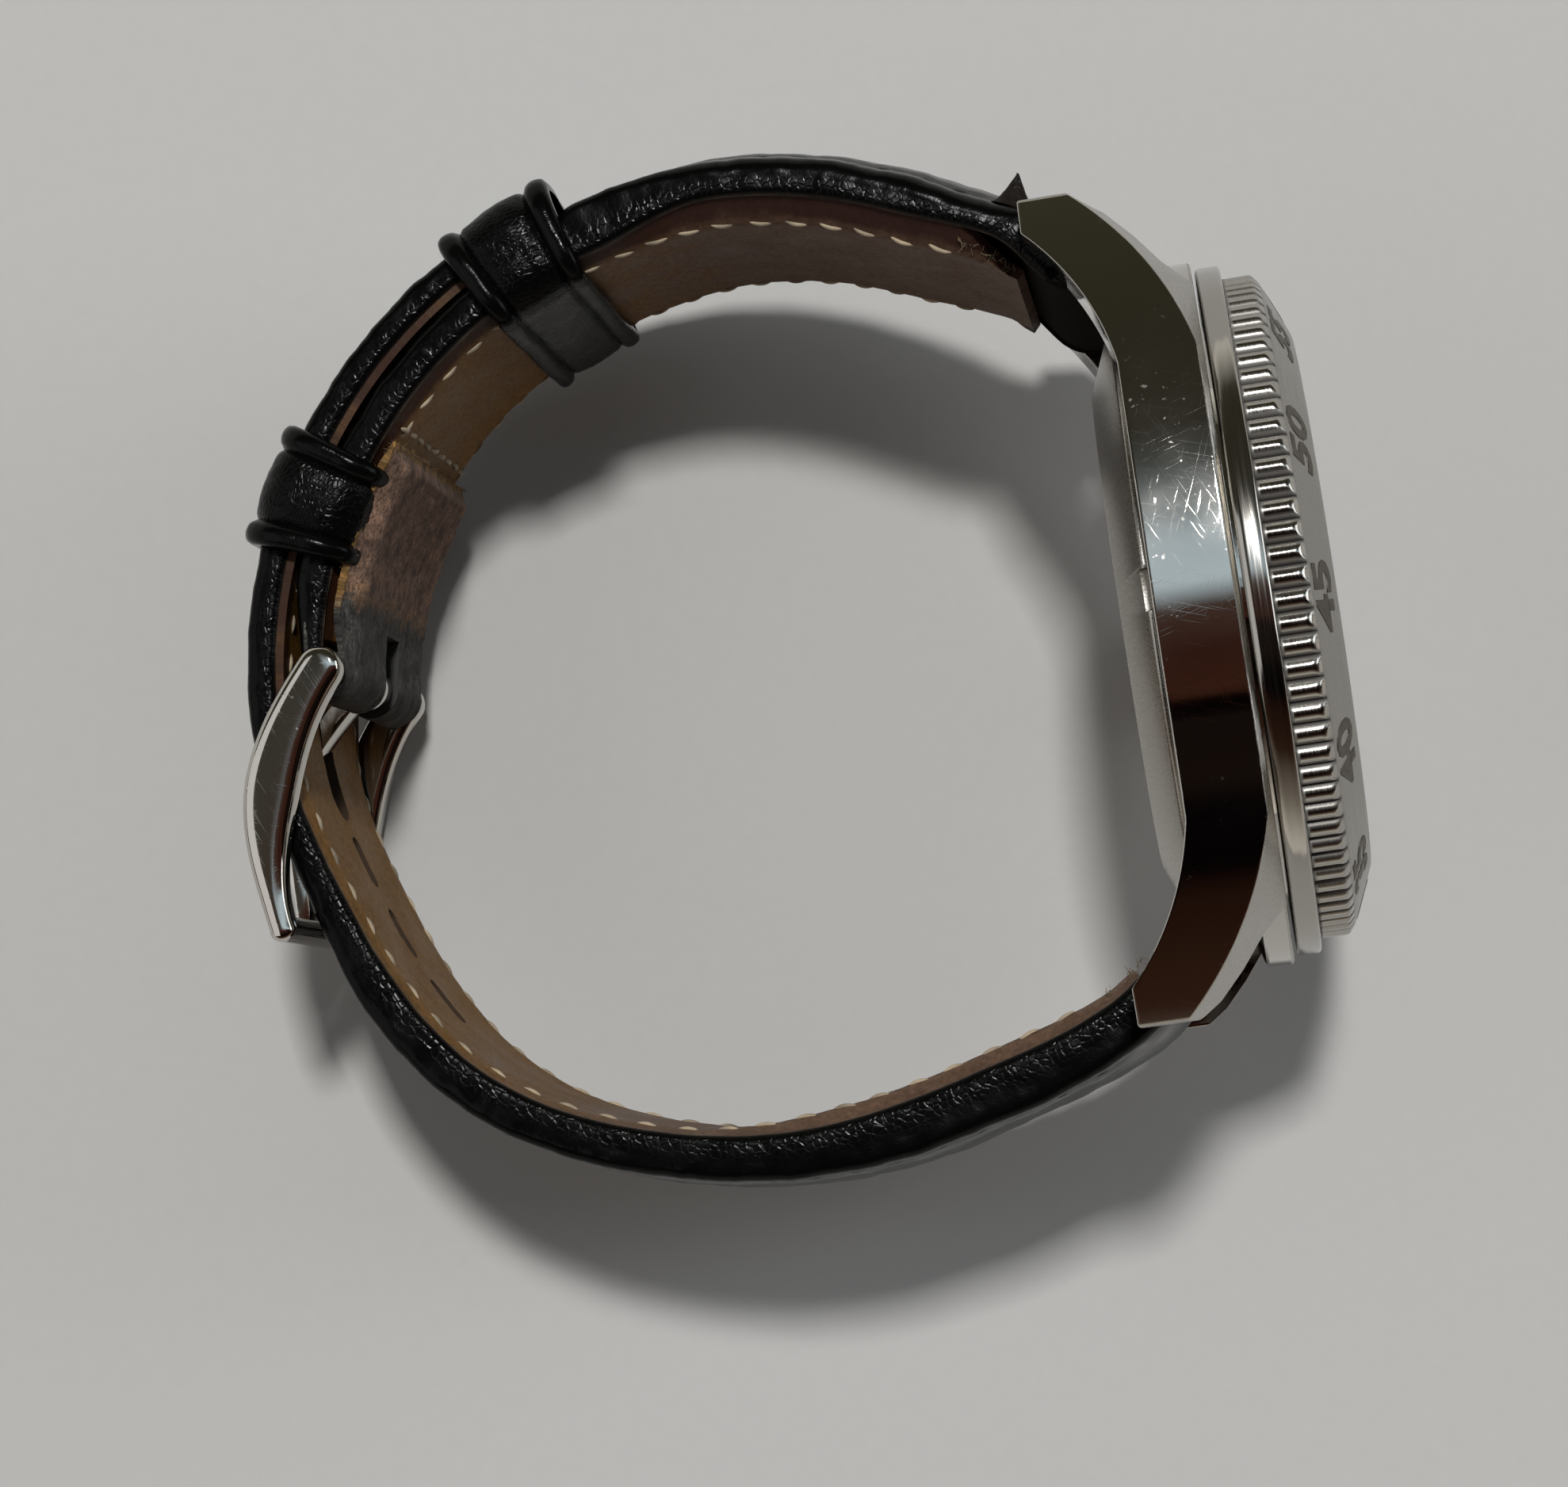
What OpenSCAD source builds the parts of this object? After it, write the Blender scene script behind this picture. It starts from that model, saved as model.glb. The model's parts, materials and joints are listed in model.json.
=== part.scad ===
// Wristwatch with a steel case, a coin-edge turning bezel and a buckled leather strap.
// Every piece is drawn in a bench frame first: x to 3 o'clock, y to 12 o'clock, z out of
// the dial, z = 0 on the flat of the case back. lying() then lays the watch on its crown.
// Millimetres.

/* [Case] */
// Half width of the case at 9 o'clock
case_half_w = 20.3; // [19.6:0.1:20.8]
// Height at which the polished side starts above the case back flat
case_base_z = 2.0; // [1.9:0.1:2.4]
// Height of the polished side
case_side_h = 4.85; // [4.4:0.05:5.4]
// Bevel between the polished side and the top face
case_bevel = 0.65; // [0.4:0.05:0.8]
// Radius of the round barrel between the lugs
barrel_r = 19.2; // [18.8:0.1:19.3]
// Length from lug tip to lug tip
lug_span = 48.4; // [47.6:0.2:52]
// Gap between the lugs of one pair
lug_gap = 22.2; // [20:0.2:24]
// Outer width over the lug tips
lug_tip_w = 28.4; // [27.6:0.2:32]
// Height of the blunt lug tip
lug_tip_h = 2.9; // [2.6:0.1:3.4]
// Height of the upper corner of the lug tip
lug_tip_z = 0.45; // [0:0.05:0.8]
// Where the lug starts to fall away from the flat top
lug_shoulder_y = 13.5; // [12:0.5:15]
// Distance of the spring bar from the dial's centre line
bar_y = 21.6; // [21.5:0.1:22.2]
// Height of the spring bar
bar_z = 0.1; // [-0.3:0.1:0.4]

/* [Case back] */
// Radius of the flat of the case back
back_flat_r = 14.6; // [12:0.2:16]
// Outer radius of the bevelled case back
back_r = 18.6; // [18:0.1:18.9]
// Thickness of the case back plate
back_t = 1.2; // [0.9:0.1:1.5]
// Height of the snap rim inside the case
back_rim_h = 0.8; // [0.6:0.05:0.85]

/* [Bezel] */
// Radius of the smooth band at the foot of the bezel
bezel_r = 21; // [20.6:0.1:22]
// Height of the smooth band
bezel_band_h = 1.5; // [1:0.1:1.7]
// Radius over the coin edge
coin_r = 20.15; // [19.6:0.05:20.4]
// Height of the coin edge
coin_h = 2.15; // [1.6:0.05:2.4]
// Number of flutes in the coin edge
coin_flutes = 96; // [60:4:180]
// Depth of a flute
coin_depth = 0.45; // [0.2:0.05:0.6]
// Radius of the inner rim
rim_r = 15.95; // [15.8:0.05:16.4]
// Height of the sloped face from the coin edge to the inner rim
slope_h = 1.5; // [1.2:0.1:2]

/* [Crystal and dial] */
// Radius of the crystal
crystal_r = 15.2; // [15.0:0.05:15.25]
// Thickness of the crystal
crystal_t = 1.8; // [1.2:0.1:2]
// Wall of the crystal gasket
crystal_gasket_t = 0.38; // [0.3:0.02:0.4]
// Thickness of the dial
dial_t = 0.4; // [0.3:0.05:0.5]
// Length of an hour marker
marker_l = 2.6; // [1.6:0.1:3]
// Width of an hour marker
marker_w = 0.8; // [0.5:0.1:1.2]
// Length of the hour hand
hour_hand_l = 8.2; // [6:0.1:9]
// Length of the minute hand
minute_hand_l = 12; // [9:0.1:13]
// Length of the seconds hand
seconds_hand_l = 12.8; // [9:0.1:13.4]

/* [Crown] */
// Radius of the crown
crown_r = 3.2; // [2.6:0.1:3.4]
// Length of the crown
crown_l = 3.6; // [3.2:0.1:4.2]
// Gap between the bezel's reach and the crown pushed home
crown_gap = 0.4; // [0.3:0.05:0.6]
// Number of flutes round the crown
crown_flutes = 36; // [24:1:48]
// Radius of the winding stem
stem_r = 0.6; // [0.5:0.05:0.7]
// Outer radius of the crown tube
tube_r = 1.45; // [1.2:0.05:1.5]

/* [Movement] */
// Radius of the main plate
plate_r = 12; // [11.8:0.1:12.4]
// Thickness of the main plate
plate_t = 0.6; // [0.5:0.05:0.7]
// Radius of the button cell
cell_r = 3.4; // [2.9:0.1:3.5]
// Height of the button cell
cell_h = 2.6; // [2:0.1:2.7]
// Thickness of a wheel of the train
wheel_t = 0.2; // [0.15:0.01:0.22]
// Distance of the fifth wheel from the centre
fifth_d = 3.72; // [3.7:0.02:3.9]
// Distance of the third wheel from the centre
third_d = 3.9; // [3.8:0.02:3.95]
// Distance of the rotor from the fifth wheel
rotor_d = 3.08; // [3:0.02:3.2]
// Distance of the minute wheel from the centre
minute_d = 2.6; // [2.5:0.05:2.8]

/* [Strap] */
// Radius of the wrist loop inside the long strap
wrist_r = 28; // [27.4:0.1:28.6]
// Height of the loop's centre towards 12 o'clock
wrist_y = 0.8; // [0:0.1:1]
// Depth of the loop's centre behind the case back
wrist_z = -21.7; // [-22.4:0.1:-21.2]
// Thickness of the padded strap at the lugs
strap_lug_t = 4.0; // [3.6:0.1:4.1]
// Thickness of the padded strap along the wrist
strap_mid_t = 3.4; // [3:0.1:3.6]
// Thickness of the long strap at the holes and the tip
tail_t = 2.4; // [2:0.1:2.6]
// Thickness of the short strap under the tail
under_t = 2.7; // [2.3:0.1:2.8]
// Thickness of the strap at its sewn edges
strap_edge_t = 1.9; // [1.6:0.1:2]
// Thickness of the lining
lining_t = 0.9; // [0.6:0.1:1]
// Width of both straps at the buckle
strap_end_w = 20; // [18:0.2:21]
// Thickness of the turned-back flap
flap_t = 1.5; // [1.2:0.1:1.6]
// Distance between the strap holes
hole_pitch = 5; // [4.6:0.1:6]
// Number of strap holes on each side of the tongue
hole_n = 3; // [1:1:4]
// Width of a keeper along the strap
keeper_l = 6.8; // [5:0.2:7.4]
// Thickness of a keeper's band
keeper_t = 1.0; // [0.8:0.1:1.1]

/* [Buckle] */
// Length of the buckle from heel bar to front bar
buckle_l = 15.6; // [15:0.1:16.4]
// How far the buckle's arms bulge outwards
buckle_bulge = 1.9; // [1.6:0.1:2.2]
// Width of a buckle arm
buckle_arm_w = 1.8; // [1.4:0.1:2]
// Radius of the heel bar
heel_bar_r = 0.8; // [0.6:0.05:0.9]
// Width of the tongue
tongue_w = 2.2; // [1.6:0.1:2.4]
// Thickness of the tongue
tongue_t = 1.0; // [0.8:0.1:1.1]

/* [Clearances] */
// Gap between pieces that are fitted together
fit_gap = 0.05; // [0.03:0.01:0.06]
// Gap between pieces that move past each other
run_gap = 0.15; // [0.12:0.01:0.18]
// Gap between leather and what slides on it
leather_gap = 0.3; // [0.25:0.01:0.32]

/* [Hidden] */
$fn = 96;

// Heights of the case stack
case_top_z = case_base_z + case_side_h;
bezel_z = case_top_z + 2 * run_gap;
coin_z = bezel_z + bezel_band_h;
slope_z = coin_z + coin_h;
bezel_top_z = slope_z + slope_h;
back_rim_z = case_base_z + back_rim_h;
neck_drop = 1.15;
neck_top_z = bezel_top_z - neck_drop;
crystal_drop = 0.25;
crystal_z = bezel_top_z - crystal_drop - crystal_t;
ledge_t = 0.4;
ledge_z = crystal_z - ledge_t;
chapter_h = 1.6;
dial_z = ledge_z - chapter_h - dial_t;
dial_top_z = dial_z + dial_t;

// Radii of the case stack
gasket_r = crystal_r + crystal_gasket_t;
neck_wall = 2;
neck_r = gasket_r + neck_wall;
ledge_w = 0.6;
ledge_r = crystal_r - ledge_w;
holder_r = ledge_r + 0.7;
back_step = 1.2;
back_rim_r = back_r - back_step;
back_rim_w = 1;
back_groove_out = back_r - 0.2;
back_groove_in = back_r - 0.8;
back_groove_h = 0.5;
notch_w = 2.4;
groove_depth = 0.35;
rim_w = 0.35;

// Lug outline seen from the side
tip_y = lug_span / 2;
tip_half_w = lug_tip_w / 2;
tip_low_z = lug_tip_z - lug_tip_h;
lug_heel_y = tip_y - 2.2;
lug_front_r = 22;
lug_back_r = 17;
side_r = (pow(case_half_w - tip_half_w, 2) + tip_y * tip_y) / (2 * (case_half_w - tip_half_w));
side_c = side_r - case_half_w;

// Crown and stem
stem_z = case_base_z + case_side_h / 2;
crown_x = max(case_half_w, bezel_r) + crown_gap;
crown_end_x = crown_x + crown_l;
stem_in_x = 6.6;
clutch_x = 7.2;
clutch_l = 1.6;
clutch_r = 1.3;
clutch_n = 16;

// Movement heights, counted down from the dial
plate_rim_h = 1.1;
plate_top_z = dial_z - plate_rim_h;
plate_z = plate_top_z - plate_t;
level_step = wheel_t + 0.2;
level_d = plate_z - 0.45 - wheel_t;
level_c = level_d - level_step;
level_b = level_c - level_step;
level_a = level_b - level_step;
bridge_t = 0.5;
bridge_hub_r = 4.2;
bridge_foot_r = 0.9;
web_w = 1.6;
bridge_z = level_a - 0.3 - bridge_t;
board_t = 0.3;
board_z = bridge_z - 0.5;
cell_z = plate_z - 0.35 - cell_h;
clamp_t = 0.25;
cell_step = 0.5;
clamp_z = cell_z - fit_gap - clamp_t;
work_z = plate_top_z + 0.15;
minute_pinion_z = work_z + wheel_t + 0.1;

// Tooth counts: rotor to seconds 30 to 1, seconds to minutes 60 to 1, minutes to hours 12 to 1
rotor_n = 8;
fifth_n = 48;
fifth_pinion_n = 8;
seconds_n = 40;
seconds_pinion_n = 8;
third_n = 60;
third_pinion_n = 8;
centre_n = 64;
cannon_n = 10;
minute_n = 30;
minute_pinion_n = 8;
hour_n = 32;
m_rotor = 2 * rotor_d / (rotor_n + fifth_n);
m_fifth = 2 * fifth_d / (fifth_pinion_n + seconds_n);
m_seconds = 2 * third_d / (seconds_pinion_n + third_n);
m_third = 2 * third_d / (third_pinion_n + centre_n);
m_work = 2 * minute_d / (cannon_n + minute_n);

// Where the wheels stand on the plate
fifth_a = 50;
rotor_a = 100;
third_a = 200;
minute_a = 300;
fifth_p = fifth_d * [cos(fifth_a), sin(fifth_a)];
rotor_p = fifth_p + rotor_d * [cos(rotor_a), sin(rotor_a)];
third_p = third_d * [cos(third_a), sin(third_a)];
minute_p = minute_d * [cos(minute_a), sin(minute_a)];
bridge_posts = [[-5.3, 2.9], [4.9, -2.4], [5.9, 4.5]];
post_r = 0.6;
pivot_r = 0.12;
end_shake = 0.1;
stud_r = 0.25;
stud_h = 1;
cannon_r = 0.38;
pipe_r = 0.7;
cell_p = (plate_r - cell_r - 0.4) * [cos(300), sin(300)];
clamp_post = [8.9, -6.2];
board_post = [-8.6, -5.6];
screw_r = 0.35;
screw_head_r = 0.65;
screw_head_h = 0.35;
screw_slot_w = 0.2;
screw_slot_h = 0.15;
coil_r = 1.15;
magnet_r = 0.85;
pinion_t = wheel_t + 0.1;
stator_t = 0.5;
stator_z = level_b - 0.1;

// Strap route, in polar form about the centre of the wrist loop: angle 0 points to the dial,
// 90 to 12 o'clock, 180 to the buckle and 270 to 6 o'clock
strap_lug_w = lug_gap - 2 * leather_gap;
function wrist_angle(y, z) = atan2(y - wrist_y, z - wrist_z);
function wrist_radius(y, z) = norm([y - wrist_y, z - wrist_z]);
function on_wrist(r, a) = [wrist_y + r * sin(a), wrist_z + r * cos(a)];
bar12_a = wrist_angle(bar_y, bar_z);
bar12_r = wrist_radius(bar_y, bar_z);
bar6_a = wrist_angle(-bar_y, bar_z) + 360;
bar6_r = wrist_radius(-bar_y, bar_z);
tail_lift = 0.6;
tip_lift = 0.2;
tail_in_r = wrist_r + tail_lift;
tail_out_r = tail_in_r + tail_t;
under_r = tail_in_r - leather_gap / 2 - under_t;
heel_a = 173.5;
heel_nose_r = 1.8;
notch_l = 7.6;
heel_r = under_r + 0.2;
heel_bar_at = on_wrist(heel_r, heel_a);
tip_a = 112.5;
tip_round = 8;
tip_w_share = 0.62;
keeper_in_r = under_r - leather_gap;
keeper_out_r = tail_out_r + leather_gap;
keeper_half_w = strap_end_w / 2 + 2.2 * leather_gap;
keeper_half_a = keeper_l / 2 / tail_in_r * 180 / PI;
free_keeper_a = 113;
fixed_keeper_a = 152;
flap_start_a = 141;
// Angles at which the layers blend and end near the bars
lining_start = 4.3;
lining_end = 4.4;
flap_end = 4.6;
heel_blend = 12;
lug_blend = 25;
pad_blend = 30;
step_blend = 22;
deg_per_mm = 180 / PI / wrist_r;
hole_a = 184;
hole_w = 1;
hole_l = 3.6;
tongue_hole_w = tongue_w + 2 * leather_gap;
tongue_hole_l = 7.8;
tongue_hole_shift = -1.4;

// Buckle: the front bar lies outside the long strap, the heel bar inside it
front_r = wrist_r + tail_t + 1.9;
front_bar_r = 0.8;
front_a = heel_a + acos((heel_r * heel_r + front_r * front_r - buckle_l * buckle_l)
    / (2 * heel_r * front_r));
front_at = on_wrist(front_r, front_a);
buckle_in_w = strap_end_w / 2 + leather_gap;
buckle_half_w = buckle_in_w + buckle_arm_w;
// The middle line of an arm from the heel bar to the front bar, bulging outwards
function arm_mid(s) = let (d = front_at - heel_bar_at, out = [-d[1], d[0]] / norm(d))
    heel_bar_at + d * s + out * buckle_bulge * 4 * s * (1 - s);
arm_heel = 1.35;
arm_belly = 1.6;
arm_tip = 0.75;
arm_belly_at = 0.45;
function arm_half(s) = s < arm_belly_at
    ? mix(arm_heel, arm_belly, smooth(s / arm_belly_at))
    : mix(arm_belly, arm_tip, smooth((s - arm_belly_at) / (1 - arm_belly_at)));
arm_n = 14;
function arm_side(sgn) = [for (i = [0 : arm_n])
    let (s = i / arm_n, d = arm_mid(s + 0.01) - arm_mid(s - 0.01))
    arm_mid(s) + sgn * arm_half(s) * [-d[1], d[0]] / norm(d)];
arm_outline = concat(arm_side(1), reversed(arm_side(-1)));
buckle_depth = max(front_bar_r - front_at[1], -min([for (p = arm_outline) p[1]]));

// The watch lies on the rim of its crown and on the side of its buckle
crown_bevel = 0.35;
crown_tip_r = crown_r - crown_bevel;
rest_tilt = atan((crown_end_x - buckle_half_w) / (buckle_depth + stem_z - crown_tip_r));
rest_lift = crown_end_x * cos(rest_tilt) - (stem_z - crown_tip_r) * sin(rest_tilt);
bezel_reach = (rim_r + rim_w) * sin(rest_tilt) + bezel_top_z * cos(rest_tilt);
buckle_reach = buckle_half_w * sin(rest_tilt) + buckle_depth * cos(rest_tilt);
rest_shift = (buckle_reach - bezel_reach) / 2;

// Colours
steel = "#c9cacb";
polished = "#dcdddd";
brass = "#c9a95a";
leather_black = "#1b1a1a";
lining_brown = "#8a5a3a";
suede = "#6f5238";

// Helpers
module lying() {
    translate([rest_shift, -wrist_y, rest_lift]) rotate([0, 90 - rest_tilt, 0]) children();
}

// Puts a shape drawn in the (y, z) plane across the watch, x being its thickness
module across(width) {
    rotate([90, 0, 90]) linear_extrude(width, center = true) children();
}

// Turns local z to 3 o'clock
module to_three() {
    rotate([0, 90, 0]) children();
}

// A ring of revolution about the wrist axis from angle a0 to a1; its profile is [radius, x]
module wrist_sweep(a0, a1) {
    translate([0, wrist_y, wrist_z]) rotate([0, -90, 0]) rotate([180, 0, 0])
        rotate([0, 0, -a1]) rotate_extrude(angle = a1 - a0) children();
}

// Places a shape at an angle on the wrist loop: local z points outwards, x stays across
module wrist_at(r, a) {
    translate([0, on_wrist(r, a)[0], on_wrist(r, a)[1]]) rotate([-a, 0, 0]) children();
}

function smooth(t) = let (k = min(1, max(0, t))) k * k * (3 - 2 * k);
function mix(a, b, t) = a + (b - a) * t;

// Points of an arc of radius r from p to q, bulging to the left of the way from p to q
function arc(p, q, r, n) =
    let (d = q - p, h = sqrt(r * r - d * d / 4), m = (p + q) / 2)
    let (c = m + h * [d[1], -d[0]] / norm(d))
    let (a0 = atan2(p[1] - c[1], p[0] - c[0]), a1 = atan2(q[1] - c[1], q[0] - c[0]))
    [for (i = [0 : n]) c + r * [cos(mix(a0, a1, i / n)), sin(mix(a0, a1, i / n))]];

function reversed(list) = [for (i = [len(list) - 1 : -1 : 0]) list[i]];
function mirrored(points) = [for (p = reversed(points)) [-p[0], p[1]]];

// A spur wheel outline with straight-sided teeth; turn sets which way a tooth points
function wheel_points(n, m, turn) =
    let (r = n * m / 2, step = 360 / n)
    [for (i = [0 : n - 1]) each [for (k = [[-0.27, -1.15], [-0.1, 0.85], [0.1, 0.85], [0.27, -1.15]])
        let (a = turn + (i + k[0]) * step, q = r + k[1] * m) q * [cos(a), sin(a)]]];

module wheel(n, m, turn, t) {
    linear_extrude(t) polygon(wheel_points(n, m, turn));
}

// An outline of rounded flutes round a circle
function fluted(r, depth, n) = [for (i = [0 : 4 * n - 1])
    let (a = 90 * i / n) (r - depth * [0, 0.5, 1, 0.5][i % 4]) * [cos(a), sin(a)]];

module tube(r_out, r_in, h) {
    difference() {
        cylinder(r = r_out, h = h);
        translate([0, 0, -1]) cylinder(r = r_in, h = h + 2);
    }
}

// Skins a list of rings that all have the same number of points
module skin(rings) {
    n = len(rings[0]);
    last = len(rings) - 1;
    sides = [for (i = [0 : last - 1], k = [0 : n - 1])
        let (a = i * n + k, b = i * n + (k + 1) % n) each [[a, b, b + n], [a, b + n, a + n]]];
    first_cap = [for (k = [1 : n - 2]) [0, k + 1, k]];
    end = last * n;
    last_cap = [for (k = [1 : n - 2]) [end, end + k, end + k + 1]];
    polyhedron(points = [for (r = rings) each r], faces = concat(sides, first_cap, last_cap));
}

// Case
module case_middle() {
    front = arc([lug_shoulder_y, case_top_z], [tip_y, lug_tip_z], lug_front_r, 10);
    back = arc([barrel_r * 0.68, case_base_z], [lug_heel_y, tip_low_z], lug_back_r, 10);
    half = concat(front, [[tip_y, tip_low_z]], reversed(back));
    outline = concat(half, mirrored(half));
    color(polished) lying() difference() {
        union() {
            intersection() {
                across(2 * case_half_w + 2) polygon(outline);
                for_sides();
                case_lens();
            }
            translate([0, 0, case_base_z]) cylinder(r = barrel_r, h = case_side_h);
            translate([0, 0, case_top_z - 1])
                cylinder(r = neck_r, h = neck_top_z - case_top_z + 1);
        }
        translate([0, 0, case_base_z - 1])
            cylinder(r = back_rim_r, h = back_rim_h + 1 + fit_gap);
        translate([0, 0, case_base_z - 1])
            cylinder(r = holder_r, h = ledge_z - case_base_z + 1);
        cylinder(r = ledge_r, h = bezel_top_z);
        translate([0, 0, crystal_z])
            cylinder(r = gasket_r + fit_gap / 2, h = crystal_t + 2);
        translate([0, 0, case_base_z - 1])
            tube(back_groove_out, back_groove_in, back_groove_h + 1);
        translate([0, 0, -case_base_z]) cylinder(r = back_r + run_gap, h = 2 * case_base_z);
        snap_ring_groove();
        click_pocket(0);
        translate([holder_r - 2, 0, stem_z]) to_three()
            cylinder(r = tube_r + fit_gap / 2, h = case_half_w);
        for (y = [-bar_y, bar_y]) {
            translate([0, y, bar_z]) to_three()
                cylinder(r = bar_pivot_r + fit_gap, h = bar_hole_l, center = true);
        }
    }
}

bar_r = 0.75;
bar_pivot_r = 0.42;
bar_pivot_l = 1.2;
bar_hole_l = lug_gap + 2 * bar_pivot_l + 0.4;

// The two sides of the case outside the lug gap
module for_sides() {
    for (s = [-1, 1]) {
        translate([s * (lug_gap / 2 + case_half_w), 0, 0])
            cube([2 * case_half_w, 4 * tip_y, 8 * case_side_h], center = true);
    }
}

// One of the two wide discs that bound the case, bevelled at its top edge
module side_disc(s) {
    foot_z = 2 * tip_low_z;
    translate([s * side_c, 0, foot_z])
        cylinder(r = side_r, h = case_top_z - case_bevel - foot_z, $fn = 180);
    translate([s * side_c, 0, case_top_z - case_bevel])
        cylinder(r1 = side_r, r2 = side_r - case_bevel, h = case_bevel, $fn = 180);
}

// The plan of the case: two wide arcs from lug tip to lug tip
module case_lens() {
    intersection() {
        side_disc(1);
        side_disc(-1);
    }
}

snap_ring_z = case_top_z + 2.4;
snap_ring_h = 0.5;
snap_ring_cut = 2;
snap_ring_in = neck_r - groove_depth;
snap_ring_out = neck_r + 0.45;
module snap_ring_groove() {
    translate([0, 0, snap_ring_z - run_gap])
        tube(neck_r + 1, snap_ring_in - run_gap / 2, snap_ring_h + 2 * run_gap);
}

click_in_r = neck_r + 0.4;
click_w = 0.9;
click_a = 70;
click_depth = 0.6;
click_t = 0.3;
click_start = 200;
// The pocket for the click spring, or the spring itself when gap is the room left round it
module click_pocket(gap) {
    translate([0, 0, case_top_z - click_depth + gap]) rotate([0, 0, click_start + gap])
        rotate_extrude(angle = click_a - 2 * gap) translate([click_in_r + gap, 0])
            square([click_w - 2 * gap, gap > 0 ? click_t : 2 * click_depth]);
}

module caseback() {
    color(steel) lying() difference() {
        rotate_extrude() polygon([
            [0, 0], [back_flat_r, 0], [back_r, case_base_z - 0.3], [back_r, case_base_z - fit_gap],
            [back_rim_r - fit_gap, case_base_z - fit_gap], [back_rim_r - fit_gap, back_rim_z],
            [back_rim_r - back_rim_w, back_rim_z], [back_rim_r - back_rim_w, back_t], [0, back_t]
        ]);
        translate([-back_r, 0, case_base_z]) cube([1.2, notch_w, 1], center = true);
    }
}

module caseback_gasket() {
    color("#2a2a2a") lying() translate([0, 0, case_base_z])
        tube(back_groove_out - fit_gap, back_groove_in + fit_gap, back_groove_h - fit_gap);
}

// Bezel
module bezel_ring() {
    bore_r = neck_r + run_gap;
    color(steel) lying() difference() {
        union() {
            translate([0, 0, bezel_z]) cylinder(r = bezel_r, h = bezel_band_h);
            translate([0, 0, coin_z]) linear_extrude(coin_h)
                polygon(fluted(coin_r, coin_depth, coin_flutes));
            translate([0, 0, slope_z])
                cylinder(r1 = coin_r - coin_depth - 0.1, r2 = rim_r + rim_w, h = slope_h);
        }
        translate([0, 0, bezel_z - 1])
            cylinder(r = bore_r, h = neck_top_z + run_gap - bezel_z + 1);
        translate([0, 0, bezel_z - 1]) cylinder(r = rim_r, h = bezel_top_z);
        translate([0, 0, snap_ring_z - run_gap])
            cylinder(r = snap_ring_out + run_gap, h = snap_ring_h + 2 * run_gap);
    }
}

module bezel_snap_ring() {
    color(steel) lying() difference() {
        translate([0, 0, snap_ring_z]) tube(snap_ring_out, snap_ring_in, snap_ring_h);
        translate([0, snap_ring_in, snap_ring_z]) cube([snap_ring_cut, 4, 4], center = true);
    }
}

module bezel_click_spring() {
    color(steel) lying() click_pocket(run_gap / 2);
}

// Crystal, dial and hands
module crystal() {
    color("#dfeaf0", 0.5) lying() translate([0, 0, crystal_z + fit_gap])
        cylinder(r = crystal_r - fit_gap / 2, h = crystal_t);
}

module crystal_gasket() {
    color("#e8e6df") lying() translate([0, 0, crystal_z + fit_gap])
        tube(gasket_r, crystal_r, neck_top_z - crystal_z + 0.2);
}

module chapter_ring() {
    color(leather_black) lying() rotate_extrude() polygon([
        [holder_r - fit_gap, dial_top_z + fit_gap], [holder_r - fit_gap, ledge_z - fit_gap],
        [ledge_r - 0.1, ledge_z - fit_gap], [ledge_r - 0.9, dial_top_z + fit_gap]
    ]);
}

module dial() {
    color("#20242c") lying() translate([0, 0, dial_z])
        tube(holder_r - 4 * fit_gap, pipe_r + run_gap, dial_t);
}

marker_r = ledge_r - 1.5;
marker_t = 0.3;
module hour_markers() {
    color(polished) lying() for (i = [0 : 11]) {
        rotate([0, 0, 30 * i]) translate([-marker_w / 2, marker_r - marker_l, dial_top_z])
            cube([marker_w, marker_l, marker_t]);
    }
}

hand_t = 0.15;
hand_gap = 0.15;
hand_shoulder = 0.85;
hour_hand_z = dial_top_z + marker_t + hand_gap;
minute_hand_z = hour_hand_z + hand_t + hand_gap;
seconds_hand_z = minute_hand_z + hand_t + hand_gap;
hour_turn = -305;
minute_turn = -60;
seconds_turn = -180;

// A hand: a boss on its arbor, a tapered blade and a short tail
module hand(length, tail, w, boss_r, bore_r, turn) {
    rotate([0, 0, turn]) difference() {
        union() {
            cylinder(r = boss_r, h = hand_t);
            linear_extrude(hand_t) polygon([
                [-w / 2, -tail], [w / 2, -tail], [w / 2, hand_shoulder * length],
                [0, length], [-w / 2, hand_shoulder * length]
            ]);
        }
        translate([0, 0, -1]) cylinder(r = bore_r, h = 3);
    }
}

module hour_hand() {
    color(polished) lying() translate([0, 0, hour_hand_z])
        hand(hour_hand_l, 2, 1.2, 1.2, pipe_r, hour_turn);
}

module minute_hand() {
    color(polished) lying() translate([0, 0, minute_hand_z])
        hand(minute_hand_l, 2.4, 0.9, 1, cannon_r, minute_turn);
}

module seconds_hand() {
    color("#c8452f") lying() translate([0, 0, seconds_hand_z])
        hand(seconds_hand_l, 3.6, 0.3, 0.7, pivot_r, seconds_turn);
}

// Crown and stem
crown_hollow_r = tube_r + 0.35;
crown_wall = 0.9;
crown_hollow_l = crown_l - crown_wall;
tube_in_x = holder_r + 0.2;
tube_out_x = crown_x + crown_hollow_l - 0.3;
module crown() {
    color(polished) lying() translate([crown_x, 0, stem_z]) to_three() difference() {
        union() {
            linear_extrude(crown_l - crown_bevel)
                polygon(fluted(crown_r, crown_bevel - fit_gap, crown_flutes));
            cylinder(r = crown_tip_r, h = crown_l);
        }
        translate([0, 0, -1]) cylinder(r = crown_hollow_r, h = crown_hollow_l + 1);
    }
}

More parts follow.
